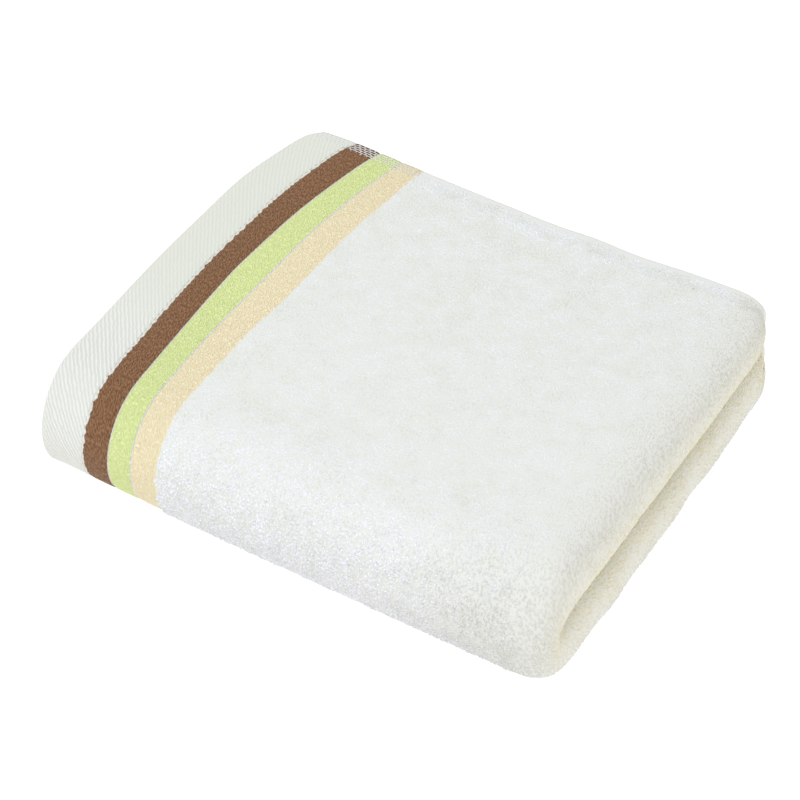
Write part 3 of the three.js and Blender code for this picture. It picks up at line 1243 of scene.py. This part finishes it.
@dataclass
class HemStitches:
    """The row of sewing that holds each turned hem, on both faces of the cloth."""

    cloth: TerryCloth
    centre: Array
    rng: np.random.Generator
    from_stripe: float = 0.75
    pitch: float = 2.7
    stitch: float = 2.1
    thread: float = 0.34
    from_selvedges: tuple[float, float] = (4.0, 6.0)
    stray: float = 0.1
    sway: float = 0.08
    rise: float = 0.35
    dip: float = 0.25
    rounds: int = 5
    stations: int = 6

    def build(self) -> bpy.types.Object:
        """Build the stitches as short spindles of thread that dip into the cloth at both ends.

        A station at share t of a stitch has a radius of half the thread times the fourth root of
        4 t (1 - t), its bulge. Its middle lies over the cloth by the rise times the bulge less the
        dip, both as shares of the thread.

        Returns:
            The finished object.
        """
        first, last = self.from_selvedges
        starts = np.arange(first, self.cloth.width - last, self.pitch)
        t = np.linspace(0.0, 1.0, self.stations)
        bulge = (4 * t * (1 - t)) ** 0.25
        points = []
        for side in Side:
            for end in (False, True):
                jitter = self.rng.normal(0.0, self.stray, len(starts))
                v = starts[:, None] + jitter[:, None] + self.stitch * t[None, :]
                line = self.cloth.border.line_at(0, v) - self.from_stripe
                line = line + self.rng.normal(0.0, self.sway, len(starts))[:, None]
                u = self.cloth.length - line if end else line
                points.append(self.threads(u, v, side, bulge))
        placed = np.concatenate(points) + self.centre
        count = len(placed) // (self.stations * self.rounds)
        return add_mesh(
            "hem_stitches", placed, self.faces(count), {"weave": np.zeros_like(placed)}
        )

    def threads(self, u: Array, v: Array, side: Side, bulge: Array) -> Array:
        """Lay rings of points round each stitch.

        Args:
            u: Distances from the upper hem, with a row for each stitch.
            v: Distances from the upper selvedge, the same.
            side: Which face.
            bulge: Share of the full radius at each station.

        Returns:
            Points, stitch by stitch and ring by ring.
        """
        lift = self.thread * (self.rise * bulge - self.dip)
        middle = self.cloth.point(u, v, side, lift[None, :])
        above = unit(self.cloth.point(u, v, side, 0.5) - self.cloth.point(u, v, side, 0.0))
        ahead = unit(np.gradient(middle, axis=1))
        aside = unit(np.cross(above, ahead))
        angle = np.linspace(0.0, 2 * math.pi, self.rounds, endpoint=False)
        radius = self.thread / 2 * bulge[None, :, None, None]
        ring = (
            np.cos(angle)[None, None, :, None] * aside[:, :, None, :]
            + np.sin(angle)[None, None, :, None] * above[:, :, None, :]
        )
        return (middle[:, :, None, :] + radius * ring).reshape(-1, 3)

    def faces(self, count: int) -> Array:
        """Join the rings of all the stitches, whose first and last rings are points.

        Args:
            count: Number of stitches.

        Returns:
            Quads.
        """
        index = np.arange(self.stations * self.rounds).reshape(self.stations, self.rounds)
        beside = np.roll(index, -1, axis=1)
        quads = np.stack([index[:-1], index[1:], beside[1:], beside[:-1]], axis=-1)
        one = quads.reshape(-1, 4)
        offsets = self.stations * self.rounds * np.arange(count)
        return (one[None] + offsets[:, None, None]).reshape(-1, 4)


class Weaver:
    """A material's node tree, with short ways to add nodes and join them."""

    def __init__(self, name: str) -> None:
        """Start a material with only its output and its main shader.

        Args:
            name: The material's name.
        """
        self.material = bpy.data.materials.new(name)
        self.material.use_nodes = True
        self.tree = self.material.node_tree
        self.shader = self.tree.nodes["Principled BSDF"]

    def add(self, kind: str, inputs: dict[str | int, object], **settings: object) -> bpy.types.Node:
        """Add a node.

        Args:
            kind: The node's type name.
            inputs: Numbers, colours or other nodes' outputs, by socket name or number.
            settings: Values for the node's own settings.

        Returns:
            The node.
        """
        node = self.tree.nodes.new(kind)
        for key, value in settings.items():
            setattr(node, key, value)
        for key, value in inputs.items():
            self.join(node.inputs[key], value)
        return node

    def join(self, socket: bpy.types.NodeSocket, value: object) -> None:
        """Link an output to a socket, or set the socket's own value.

        Args:
            socket: The socket.
            value: Another node's output, a number or a colour.
        """
        if isinstance(value, bpy.types.NodeSocket):
            self.tree.links.new(value, socket)
        else:
            socket.default_value = value

    def read(self, attribute: str) -> tuple[bpy.types.NodeSocket, ...]:
        """Read a point attribute.

        Args:
            attribute: The attribute's name.

        Returns:
            Its three numbers.
        """
        node = self.add("ShaderNodeAttribute", {}, attribute_name=attribute)
        parts = self.add("ShaderNodeSeparateXYZ", {0: node.outputs["Vector"]})
        return tuple(parts.outputs)

    def math(self, operation: str, *values: object) -> bpy.types.NodeSocket:
        """One step of arithmetic."""
        inputs = dict(enumerate(values))
        return self.add("ShaderNodeMath", inputs, operation=operation).outputs[0]

    def vector(self, x: object, y: object, z: object = 0.0) -> bpy.types.NodeSocket:
        """Three numbers as one vector."""
        return self.add("ShaderNodeCombineXYZ", {0: x, 1: y, 2: z}).outputs[0]

    def noise(self, vector: object, scale: float, detail: float = 2.0) -> bpy.types.NodeSocket:
        """Soft noise between 0 and 1."""
        inputs = {"Vector": vector, "Scale": scale, "Detail": detail, "Roughness": 0.55}
        return self.add("ShaderNodeTexNoise", inputs).outputs[0]

    def smooth_step(self, value: object, start: float, end: float) -> bpy.types.NodeSocket:
        """Rise smoothly from 0 at start to 1 at end.

        Args:
            value: The output that is measured.
            start: Where the result is 0.
            end: Where it is 1, above or below the start.

        Returns:
            The result.
        """
        inputs = {"Value": value, "From Min": start, "From Max": end}
        node = self.add("ShaderNodeMapRange", inputs, interpolation_type="SMOOTHSTEP")
        return node.outputs[0]

    def blend(self, share: object, low: object, high: object) -> bpy.types.NodeSocket:
        """Mix two colours.

        Args:
            share: Share of the high colour.
            low: Colour at 0.
            high: Colour at 1.

        Returns:
            The mixed colour.
        """
        node = self.add("ShaderNodeMix", {}, data_type="RGBA")
        self.join(node.inputs[0], share)
        self.join(node.inputs[6], opaque(low))
        self.join(node.inputs[7], opaque(high))
        return node.outputs[2]

    def times(self, colour: object, factor: object) -> bpy.types.NodeSocket:
        """Multiply a colour.

        Args:
            colour: The colour.
            factor: An output with one number or three, or a colour with its opacity.

        Returns:
            The product.
        """
        node = self.add("ShaderNodeMix", {0: 1.0}, data_type="RGBA", blend_type="MULTIPLY")
        self.join(node.inputs[6], opaque(colour))
        self.join(node.inputs[7], factor)
        return node.outputs[2]

    def bump(self, height: object, depth: float) -> None:
        """Raise the shader's surface.

        Args:
            height: The height, between 0 and 1.
            depth: What a height of 1 stands for, in millimetres.
        """
        inputs = {"Strength": 1.0, "Distance": depth * MM, "Height": height}
        node = self.add("ShaderNodeBump", inputs)
        self.join(self.shader.inputs["Normal"], node.outputs[0])

    def finish(self, roughness: float, sheen: float) -> None:
        """Set the numbers of the shader that are the same all over.

        Args:
            roughness: How dull the surface is.
            sheen: How much light its fibres catch at a low angle.
        """
        self.shader.inputs["Roughness"].default_value = roughness
        self.shader.inputs["Specular IOR Level"].default_value = 0.2
        self.shader.inputs["Sheen Weight"].default_value = sheen
        self.shader.inputs["Sheen Roughness"].default_value = 0.5


def opaque(colour: object) -> object:
    """A colour of three numbers with a fourth for opacity, or the socket that gives one."""
    return (*colour, 1.0) if isinstance(colour, tuple) else colour


@dataclass(frozen=True)
class TerryFinish:
    """The loops: white cotton, painted warm shade between them, painted warm light in the folds."""

    top: Colour = (0.885, 0.90, 0.915)
    # Darker, warmer colour towards each loop's root: painted shade down between the loops; low
    # random tones take it too.
    root: Colour = (0.79, 0.79, 0.735)
    # Painted warm bounce light deep in the folds, where the two rolls meet.
    painted_warm_bounce: Colour = (0.975, 0.925, 0.76)
    # Painted shade on the rolls, warmer in blue.
    painted_roll_shade: Colour = (0.905, 0.90, 0.855)
    tone_share: float = 0.55
    roughness: float = 1.0
    sheen: float = 0.12
    grain_size: float = 0.72
    grain_edges: tuple[float, float] = (0.75, 0.15)
    grain_height: float = 0.06
    grain_mean: float = 0.38
    # Depths of the painted shade between grains, on the long fold and on the top.
    fold_grain: float = 0.2
    flat_grain: float = 0.035
    # Painted light on the long fold: its loops' colour is lifted by this share.
    painted_fold_light: float = 0.06
    # The painted shade between grains is warmer: its blue falls by this power.
    warm_power: float = 1.6

    def material(self) -> bpy.types.Material:
        """Make the finish.

        The loop attribute holds height and tone, and the lying attribute openness, shade and
        inwardness. The root colour is partly the loops' random tone and partly painted shade low on
        each loop. Deep in the folds the colour leans to painted warm bounce light, and on the rolls
        to painted shade. Grains carry painted shade between them, deeper on the long fold, where
        painted light also lifts the colour. A darker grain is warmer too, because its blue goes
        down by a power.

        Returns:
            The material.
        """
        weaver = Weaver("terry_loops")
        height, tone, _ = weaver.read("loop")
        opened, shaded, warm_bounce_share = weaver.read("lying")
        # Low on each loop the colour goes to the root's painted shade, mixed with the loop's random
        # tone.
        high = weaver.math("MULTIPLY", height, 1 - self.tone_share)
        share = weaver.math("MULTIPLY_ADD", tone, self.tone_share, high)
        share = weaver.smooth_step(share, 0.0, 1.0)
        colour = weaver.blend(share, self.root, self.top)
        # Painted warm bounce light, stronger deeper in the folds.
        colour = weaver.blend(warm_bounce_share, colour, self.painted_warm_bounce)
        # Painted shade between the yarn grains, warmer and deeper on the long fold.
        grain = self.grain(weaver)
        depth = weaver.math("MULTIPLY_ADD", opened, self.fold_grain, self.flat_grain)
        # Painted light: the loops on the long fold are made lighter.
        light = weaver.math("MULTIPLY_ADD", opened, self.painted_fold_light, 1.0)
        from_mean = weaver.math("SUBTRACT", grain, self.grain_mean)
        shade = weaver.math("MULTIPLY_ADD", from_mean, depth, light)
        warm = weaver.math("POWER", shade, self.warm_power)
        colour = weaver.times(colour, weaver.vector(shade, shade, warm))
        # Painted shade on the rolls and along the fold towards them.
        colour = weaver.blend(shaded, colour, weaver.times(colour, opaque(self.painted_roll_shade)))
        weaver.join(weaver.shader.inputs["Base Color"], colour)
        weaver.bump(grain, self.grain_height)
        weaver.finish(self.roughness, self.sheen)
        return weaver.material

    def grain(self, weaver: Weaver) -> bpy.types.NodeSocket:
        """Twisted yarn seen end on: small round grains, high in the middle, for the bump and the
        painted shade between them.

        Args:
            weaver: The material's node tree.

        Returns:
            1 in the middle of a grain, 0 between grains.
        """
        place = weaver.add("ShaderNodeTexCoord", {}).outputs["Object"]
        inputs = {"Vector": place, "Scale": 1000 / self.grain_size}
        cells = weaver.add("ShaderNodeTexVoronoi", inputs).outputs["Distance"]
        return weaver.smooth_step(cells, *self.grain_edges)


@dataclass(frozen=True)
class WovenFinish:
    """The ground cloth: twill band, satin stripes, selvedges and the ground under the pile, in
    painted shade.

    In its methods s is the distance from the nearer hem in the straight weave, v the distance
    from the upper selvedge and side the distance from the nearer selvedge.
    """

    border: WovenBorder
    white: Colour = (0.875, 0.88, 0.855)
    # Painted shade between the twill's ribs.
    twill_rib_shade: Colour = (0.75, 0.765, 0.675)
    brown: Colour = (0.305, 0.165, 0.085)
    green: Colour = (0.785, 0.865, 0.43)
    peach: Colour = (0.93, 0.83, 0.59)
    pale: Colour = (0.79, 0.785, 0.78)
    # Darker and warmer than the plain weave: painted shade on the ground between the loops.
    ground: Colour = (0.83, 0.83, 0.785)
    plain: Colour = (0.88, 0.885, 0.85)
    edge_white: Colour = (0.84, 0.84, 0.83)
    ramp_span: float = 50.0
    pale_half: float = 0.3
    pale_blur: float = 0.1
    brown_blur: float = 0.12
    peach_end: tuple[float, float] = (0.4, 0.9)
    ragged_by: float = 1.4
    ragged_reach: tuple[float, float] = (1.0, 3.0)
    band_blur: float = 0.15
    satin_past: float = 0.8
    plain_reach: tuple[float, float] = (3.0, 6.5)
    twill_pitch: float = 1.27
    twill_way: tuple[float, float] = (0.84, -0.54)
    twill_wobble: float = 0.8
    # Where the long fold faces the light: there the band is painted paler, with crisper lines.
    twill_lit_fold: tuple[float, float] = (95.0, 150.0)
    twill_depth: tuple[float, float] = (0.5, 1.2)
    float_size: tuple[float, float] = (0.4, 1.2)
    float_lean: float = -0.25
    float_edges: tuple[float, float] = (0.33, 0.62)
    deep_power: float = 1.45
    mottle: tuple[float, float] = (0.96, 0.16)
    relief_depth: float = 0.22
    twill_relief: float = 0.6
    mottle_relief: float = 0.3
    brick: tuple[float, float] = (1.9, 1.0)
    brick_gap: float = 0.2
    selvedge: float = 4.6
    selvedge_ragged: float = 3.2
    selvedge_edge: tuple[float, float] = (1.5, 1.8)

    def ragged(self, weaver: Weaver, s: object, v: object) -> bpy.types.NodeSocket:
        """Make the brown stripe's outer edge and the start of the terry uneven.

        Args:
            weaver: The material's node tree.
            s: Distance from the hem.
            v: Distance from the upper selvedge.

        Returns:
            The distance from the hem, shifted at both edges.
        """
        first, _, _, last = self.border.lines
        near, far = self.ragged_reach
        place = weaver.vector(weaver.math("MULTIPLY", s, 0.3), v)
        shift = weaver.noise(place, scale=0.4, detail=3.0)
        shift = weaver.math("MULTIPLY_ADD", shift, 2 * self.ragged_by, -self.ragged_by)
        from_brown = weaver.math("ABSOLUTE", weaver.math("SUBTRACT", s, first))
        at_brown = weaver.smooth_step(from_brown, far, near)
        at_terry = weaver.smooth_step(s, last - far, last - near)
        shift = weaver.math("MULTIPLY", shift, weaver.math("MAXIMUM", at_brown, at_terry))
        return weaver.math("ADD", s, shift)

    def stripes(self, weaver: Weaver, s: object) -> bpy.types.NodeSocket:
        """Colour by the distance from the hem: band, brown, green and peach, with pale lines.

        Args:
            weaver: The material's node tree.
            s: Distance from the hem, with the ragged edges added.

        Returns:
            The colour.
        """
        first, second, third, last = self.border.lines
        half, blur = self.pale_half, self.pale_blur
        stops = [(first, self.white), (first + self.brown_blur, self.brown)]
        for line, before, after in (
            (second, self.brown, self.green),
            (third, self.green, self.peach),
        ):
            stops += [
                (line - half, before),
                (line - half + blur, self.pale),
                (line + half - blur, self.pale),
                (line + half, after),
            ]
        # Past the peach stripe the colour goes to the ground's painted shade.
        start, end = self.peach_end
        stops += [(last + start, self.peach), (last + end, self.ground)]
        share = weaver.math("DIVIDE", s, self.ramp_span)
        node = weaver.add("ShaderNodeValToRGB", {0: share})
        elements = node.color_ramp.elements
        elements[0].position, elements[0].color = 0.0, opaque(self.white)
        elements[1].position, elements[1].color = 1.0, opaque(self.ground)
        for place, colour in stops:
            element = elements.new(place / self.ramp_span)
            element.color = opaque(colour)
        return node.outputs[0]

    def twill(self, weaver: Weaver, s: object, v: object) -> bpy.types.NodeSocket:
        """Fine diagonal lines that run from the hem up towards the selvedge, a sine wave.

        The lines show more, and the band is paler, on the long fold, where it faces the light:
        painted light and shade.

        Args:
            weaver: The material's node tree.
            s: Distance from the hem.
            v: Distance from the upper selvedge.

        Returns:
            Share of the light colour, above 1 in places on the fold.
        """
        along, across = (part / self.twill_pitch for part in self.twill_way)
        wobble = weaver.noise(weaver.vector(s, v), scale=0.35)
        phase = weaver.math("MULTIPLY", s, along)
        phase = weaver.math("MULTIPLY_ADD", v, across, phase)
        phase = weaver.math("MULTIPLY_ADD", wobble, self.twill_wobble, phase)
        wave = weaver.math("SINE", weaver.math("MULTIPLY", phase, 2 * math.pi))
        wave = weaver.math("MULTIPLY_ADD", wave, 0.5, 0.5)
        # Painted light and shade: the lines' contrast, and the band's lightness, grow on the long
        # fold.
        flat, opened = self.twill_depth
        open_fold = weaver.smooth_step(v, *self.twill_lit_fold)
        return weaver.math("MULTIPLY", wave, weaver.math("MULTIPLY_ADD", open_fold, opened, flat))

    def satin(self, weaver: Weaver, s: object, v: object) -> bpy.types.NodeSocket:
        """Short floats of yarn along the weft, leaning a little.

        Args:
            weaver: The material's node tree.
            s: Distance from the hem.
            v: Distance from the upper selvedge.

        Returns:
            1 on a float, 0 between floats.
        """
        wide, long = self.float_size
        lean = weaver.math("MULTIPLY_ADD", v, self.float_lean, s)
        across = weaver.math("MULTIPLY", lean, 1 / wide)
        place = weaver.vector(across, weaver.math("MULTIPLY", v, 1 / long))
        floats = weaver.noise(place, scale=1.0, detail=1.0)
        return weaver.smooth_step(floats, *self.float_edges)

    def deepen(self, weaver: Weaver, colour: object) -> bpy.types.NodeSocket:
        """A yarn's colour where it lies in its own shade: each part raised to a power.

        Args:
            weaver: The material's node tree.
            colour: The yarn's colour.

        Returns:
            The deeper colour.
        """
        parts = weaver.add("ShaderNodeSeparateColor", {0: colour}).outputs
        deep = [weaver.math("POWER", part, self.deep_power) for part in parts]
        return weaver.add("ShaderNodeCombineColor", dict(enumerate(deep))).outputs[0]

    def material(self) -> bpy.types.Material:
        """Make the finish. The weave attribute holds s, v and side.

        Returns:
            The material.
        """
        weaver = Weaver("woven_cotton")
        s, v, side = weaver.read("weave")
        first, _, _, last = self.border.lines
        edge_s = self.ragged(weaver, s, v)
        past = weaver.smooth_step(edge_s, *(last + part for part in self.peach_end))
        at_side = weaver.smooth_step(side, *self.plain_reach)
        # Towards the selvedge the ground lightens to plain; under the pile it keeps its painted
        # shade.
        plain = weaver.blend(at_side, self.plain, self.ground)
        colour = weaver.blend(past, self.stripes(weaver, edge_s), plain)
        in_band = weaver.smooth_step(edge_s, first + self.band_blur, first - self.band_blur)
        in_satin = weaver.smooth_step(edge_s, last + self.satin_past, last)
        in_satin = weaver.math("MULTIPLY", weaver.math("SUBTRACT", 1.0, in_band), in_satin)
        twill = self.twill(weaver, s, v)
        # Painted shade between the twill's ribs, lighter on the long fold.
        colour = weaver.blend(in_band, colour, weaver.blend(twill, self.twill_rib_shade, self.white))
        satin = self.satin(weaver, s, v)
        mottled = weaver.noise(weaver.vector(s, v), scale=1.6, detail=3.0)
        least, more = self.mottle
        mottle = weaver.math("MULTIPLY_ADD", mottled, more, least)
        satin_colour = weaver.blend(satin, self.deepen(weaver, colour), colour)
        satin_colour = weaver.times(satin_colour, mottle)
        colour = weaver.blend(in_satin, colour, satin_colour)
        colour = self.edge_weave(weaver, colour, s, side)
        height = weaver.math("MULTIPLY", in_band, self.twill_relief)
        height = weaver.math("MULTIPLY", twill, height)
        height = weaver.math("MULTIPLY_ADD", satin, in_satin, height)
        height = weaver.math("MULTIPLY_ADD", mottled, self.mottle_relief, height)
        weaver.join(weaver.shader.inputs["Base Color"], colour)
        weaver.bump(height, self.relief_depth)
        weaver.finish(roughness=0.9, sheen=0.1)
        return weaver.material

    def edge_weave(
        self, weaver: Weaver, colour: object, s: object, side: object
    ) -> bpy.types.NodeSocket:
        """Along the selvedges the colour of a stripe shows only as small bricks on white.

        Args:
            weaver: The material's node tree.
            colour: Colour of the cloth away from the selvedges.
            s: Distance from the hem.
            side: Distance from the nearer selvedge.

        Returns:
            The colour with both selvedges.
        """
        length, width = self.brick
        bricks = weaver.add(
            "ShaderNodeTexBrick",
            {
                "Vector": weaver.vector(s, side),
                "Color1": opaque((1.0, 1.0, 1.0)),
                "Color2": opaque((1.0, 1.0, 1.0)),
                "Mortar": opaque((0.0, 0.0, 0.0)),
                "Scale": 1.0,
                "Mortar Size": self.brick_gap,
                "Mortar Smooth": 0.3,
                "Brick Width": length,
                "Row Height": width,
            },
            offset=0.5,
        )
        pattern = weaver.blend(bricks.outputs[0], self.edge_white, self.deepen(weaver, colour))
        ragged = weaver.noise(weaver.vector(s, side), scale=0.8)
        reach = weaver.math("MULTIPLY_ADD", ragged, self.selvedge_ragged, side)
        edges = (self.selvedge + part for part in self.selvedge_edge)
        return weaver.blend(weaver.smooth_step(reach, *edges), pattern, colour)


@dataclass(frozen=True)
class ThreadFinish:
    """Sewing thread in natural white, with a fine twist."""

    colour: Colour = (0.84, 0.85, 0.80)
    twist_scale: float = 2500.0
    twist: tuple[float, float] = (0.9, 0.15)

    def material(self) -> bpy.types.Material:
        """Make the finish.

        Returns:
            The material.
        """
        weaver = Weaver("sewing_thread")
        place = weaver.add("ShaderNodeTexCoord", {}).outputs["Object"]
        least, more = self.twist
        shade = weaver.noise(place, self.twist_scale)
        shade = weaver.math("MULTIPLY_ADD", shade, more, least)
        weaver.join(weaver.shader.inputs["Base Color"], weaver.times(self.colour, shade))
        weaver.finish(roughness=0.8, sheen=0.1)
        return weaver.material


@dataclass(frozen=True)
class SoftBox:
    """A square area light: its place and size in metres, its power and its tint."""

    name: str
    place: tuple[float, float, float]
    size: float
    power: float
    tint: Colour

    def build(self) -> None:
        """Add the light, turned to face the object."""
        data = bpy.data.lights.new(self.name, "AREA")
        data.shape = "SQUARE"
        data.size = self.size
        data.energy = self.power
        data.color = self.tint
        light = bpy.data.objects.new(self.name, data)
        bpy.context.scene.collection.objects.link(light)
        light.location = self.place
        light.rotation_mode = "QUATERNION"
        light.rotation_quaternion = (-Vector(self.place)).to_track_quat("-Z", "Y")


@dataclass(frozen=True)
class Studio:
    """Camera, lights and floor of a bright plain studio."""

    azimuth: float = 34.715
    elevation: float = 42.324
    distance: float = 1135.6
    roll: float = -1.764
    target: tuple[float, float, float] = (-6.296, -1.282, 14.75)
    focal_pixels: float = 3467.0
    sensor: float = 36.0
    sky: Colour = (1.0, 1.0, 0.975)
    sky_strength: float = 0.625
    soft_boxes: tuple[SoftBox, ...] = (
        SoftBox("key", (-0.5, -0.6, 1.6), size=1.2, power=15.0, tint=(0.9, 0.94, 1.0)),
        SoftBox("fill", (1.1, -0.25, 0.3), size=0.7, power=1.5, tint=(1.0, 0.97, 0.9)),
    )
    floor_half: float = 3000.0
    floor_grey: Colour = (0.1, 0.1, 0.1)

    def camera(self) -> bpy.types.Object:
        """Set the camera at the photograph's angle, distance and framing.

        Returns:
            The camera.
        """
        a, e, r = (math.radians(x) for x in (self.azimuth, self.elevation, self.roll))
        back = Vector((math.sin(a) * math.cos(e), -math.cos(a) * math.cos(e), math.sin(e)))
        level = Vector((math.cos(a), math.sin(a), 0.0))
        upright = back.cross(level)
        right = level * math.cos(r) + upright * math.sin(r)
        up = upright * math.cos(r) - level * math.sin(r)
        data = bpy.data.cameras.new("camera")
        data.sensor_width = self.sensor
        data.lens = self.focal_pixels * self.sensor / IMAGE_SIZE
        camera = bpy.data.objects.new("camera", data)
        bpy.context.scene.collection.objects.link(camera)
        place = (Vector(self.target) + back * self.distance) * MM
        turned = Matrix((right, up, back)).transposed().to_4x4()
        camera.matrix_world = Matrix.Translation(place) @ turned
        bpy.context.scene.camera = camera
        return camera

    def lights(self) -> None:
        """Light the object from all round, more from the upper left and a little from the roll."""
        world = bpy.data.worlds.new("studio")
        world.use_nodes = True
        background = world.node_tree.nodes["Background"]
        background.inputs["Color"].default_value = opaque(self.sky)
        background.inputs["Strength"].default_value = self.sky_strength
        bpy.context.scene.world = world
        for soft_box in self.soft_boxes:
            soft_box.build()
        bpy.context.scene.view_settings.view_transform = "Standard"

    def floor(self) -> bpy.types.Object:
        """Lay a plain floor, which glows so that it stays white.

        Returns:
            The floor.
        """
        half = self.floor_half
        corners = np.array([[-half, -half, 0], [half, -half, 0], [half, half, 0], [-half, half, 0]])
        floor = add_mesh("floor", corners, np.array([[0, 1, 2, 3]]), {})
        weaver = Weaver("floor_white")
        weaver.join(weaver.shader.inputs["Base Color"], opaque(self.floor_grey))
        weaver.shader.inputs["Emission Color"].default_value = (1.0, 1.0, 1.0, 1.0)
        weaver.shader.inputs["Emission Strength"].default_value = 1.0
        weaver.finish(roughness=1.0, sheen=0.0)
        floor.data.materials.append(weaver.material)
        return floor


@dataclass
class FoldedTowel:
    """The towel: one sheet of cloth, with its loops and its hem stitches on it."""

    box: tuple[Vector, Vector]
    form: FoldedForm = field(default_factory=FoldedForm)
    border: WovenBorder = field(default_factory=WovenBorder)
    mottle_cell: float = 14.0
    shown_spacing: float = 0.98
    fold_spacing: float = 1.2
    fold_size: float = 1.3
    edge_spacing: float = 1.35
    edge_size: float = 1.45
    edge_width: float = 10.0
    rng: np.random.Generator = field(init=False)
    cloth: TerryCloth = field(init=False)
    centre: Array = field(init=False)

    def __post_init__(self) -> None:
        """Lay out the cloth and find its place in the frame."""
        self.rng = np.random.default_rng(SEED)
        mottle = Mottle(self.mottle_cell, self.rng)
        self.cloth = TerryCloth(self.form, ClothCourse(self.form), self.border, mottle)
        self.centre = self.place_in_frame()

    def place_in_frame(self) -> Array:
        """Find the move that sets the cloth's own outside on the solid's box.

        Returns:
            The move along X, Y and Z.
        """
        u = np.linspace(0.0, self.cloth.length, 700)[:, None]
        v = np.linspace(0.0, self.cloth.width, 351)[None, :]
        points = np.concatenate([self.cloth.point(u, v, side).reshape(-1, 3) for side in Side])
        low, high = points.min(axis=0), points.max(axis=0)
        solid_low, solid_high = (np.array(corner) / MM for corner in self.box)
        move = (solid_low + solid_high) / 2 - (low + high) / 2
        move[2] = solid_low[2] - low[2]
        LOG.info("solid %s, cloth %s", solid_high - solid_low, high - low)
        return move

    def pile_patches(self) -> Iterable[PilePatch]:
        """Divide the pile, close on what shows and sparser and larger inside the folds.

        Yields:
            The patches, each built as one piece.
        """
        width = self.cloth.width
        rolled, roll_end = self.cloth.course.marks[1:3]
        hem_turn, hem_turn_end = self.cloth.course.marks[3:5]
        start = self.border.lines[-1] - 3.0
        middle = (start + rolled) / 2
        fold = width / 2 - self.form.upper.total
        fold_end = width / 2 + self.form.lower.total + 6.0
        roll = (rolled, roll_end + 8.0)
        shown = (
            ("pile_top_hem_side", (start, middle), (0, fold)),
            ("pile_top_rolled_side", (middle, rolled), (0, fold)),
            ("pile_long_fold", (start, rolled), (fold, fold_end)),
            ("pile_upper_roll", roll, (0, width / 2)),
            ("pile_lower_roll", roll, (width / 2, width)),
        )
        for name, along, across in shown:
            yield PilePatch(name, Side.FACE, along, across, self.shown_spacing)
        hem_fold = (hem_turn - 3.0, hem_turn_end + 3.0)
        loops = (self.fold_spacing, self.fold_size)
        yield PilePatch("pile_hem_side_fold", Side.FACE, hem_fold, (0, width), *loops)
        whole = (start, self.cloth.length - start)
        loops = (self.edge_spacing, self.edge_size, self.edge_width)
        for side in Side:
            name = f"pile_selvedges_{side.name.lower()}"
            yield PilePatch(name, side, whole, (0, width), *loops)

    def build(self) -> bpy.types.Object:
        """Returns:
            The cloth's object.
        """
        sheet = TowelSheet(self.cloth, self.centre).build()
        sheet.data.materials.append(WovenFinish(self.border).material())
        loops = PileLoops(self.cloth, self.centre, self.rng)
        terry = TerryFinish().material()
        pile = [loops.build(patch) for patch in self.pile_patches()]
        for piece in pile:
            piece.data.materials.append(terry)
        stitches = HemStitches(self.cloth, self.centre, self.rng).build()
        stitches.data.materials.append(ThreadFinish().material())
        on_it = [*pile, stitches]
        for piece in [sheet, *on_it]:
            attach(piece, "root")
            LOG.info("%s: %d triangles", piece.name, triangle_count(piece))
        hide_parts("towel")
        return sheet


def triangle_count(piece: bpy.types.Object) -> int:
    """Count the triangles that a piece has once its faces are cut into triangles.

    Args:
        piece: The piece, with no modifiers.

    Returns:
        The number of triangles.
    """
    totals = np.empty(len(piece.data.polygons), dtype=np.int32)
    piece.data.polygons.foreach_get("loop_total", totals)
    return int((totals - 2).sum())


def main() -> None:
    """Load the frame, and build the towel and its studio."""
    logging.basicConfig(level=logging.INFO, format="%(name)s: %(message)s")
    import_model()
    studio = Studio()
    studio.camera()
    studio.lights()
    studio.floor()
    FoldedTowel(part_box("towel")).build()


if __name__ == "__main__":
    main()
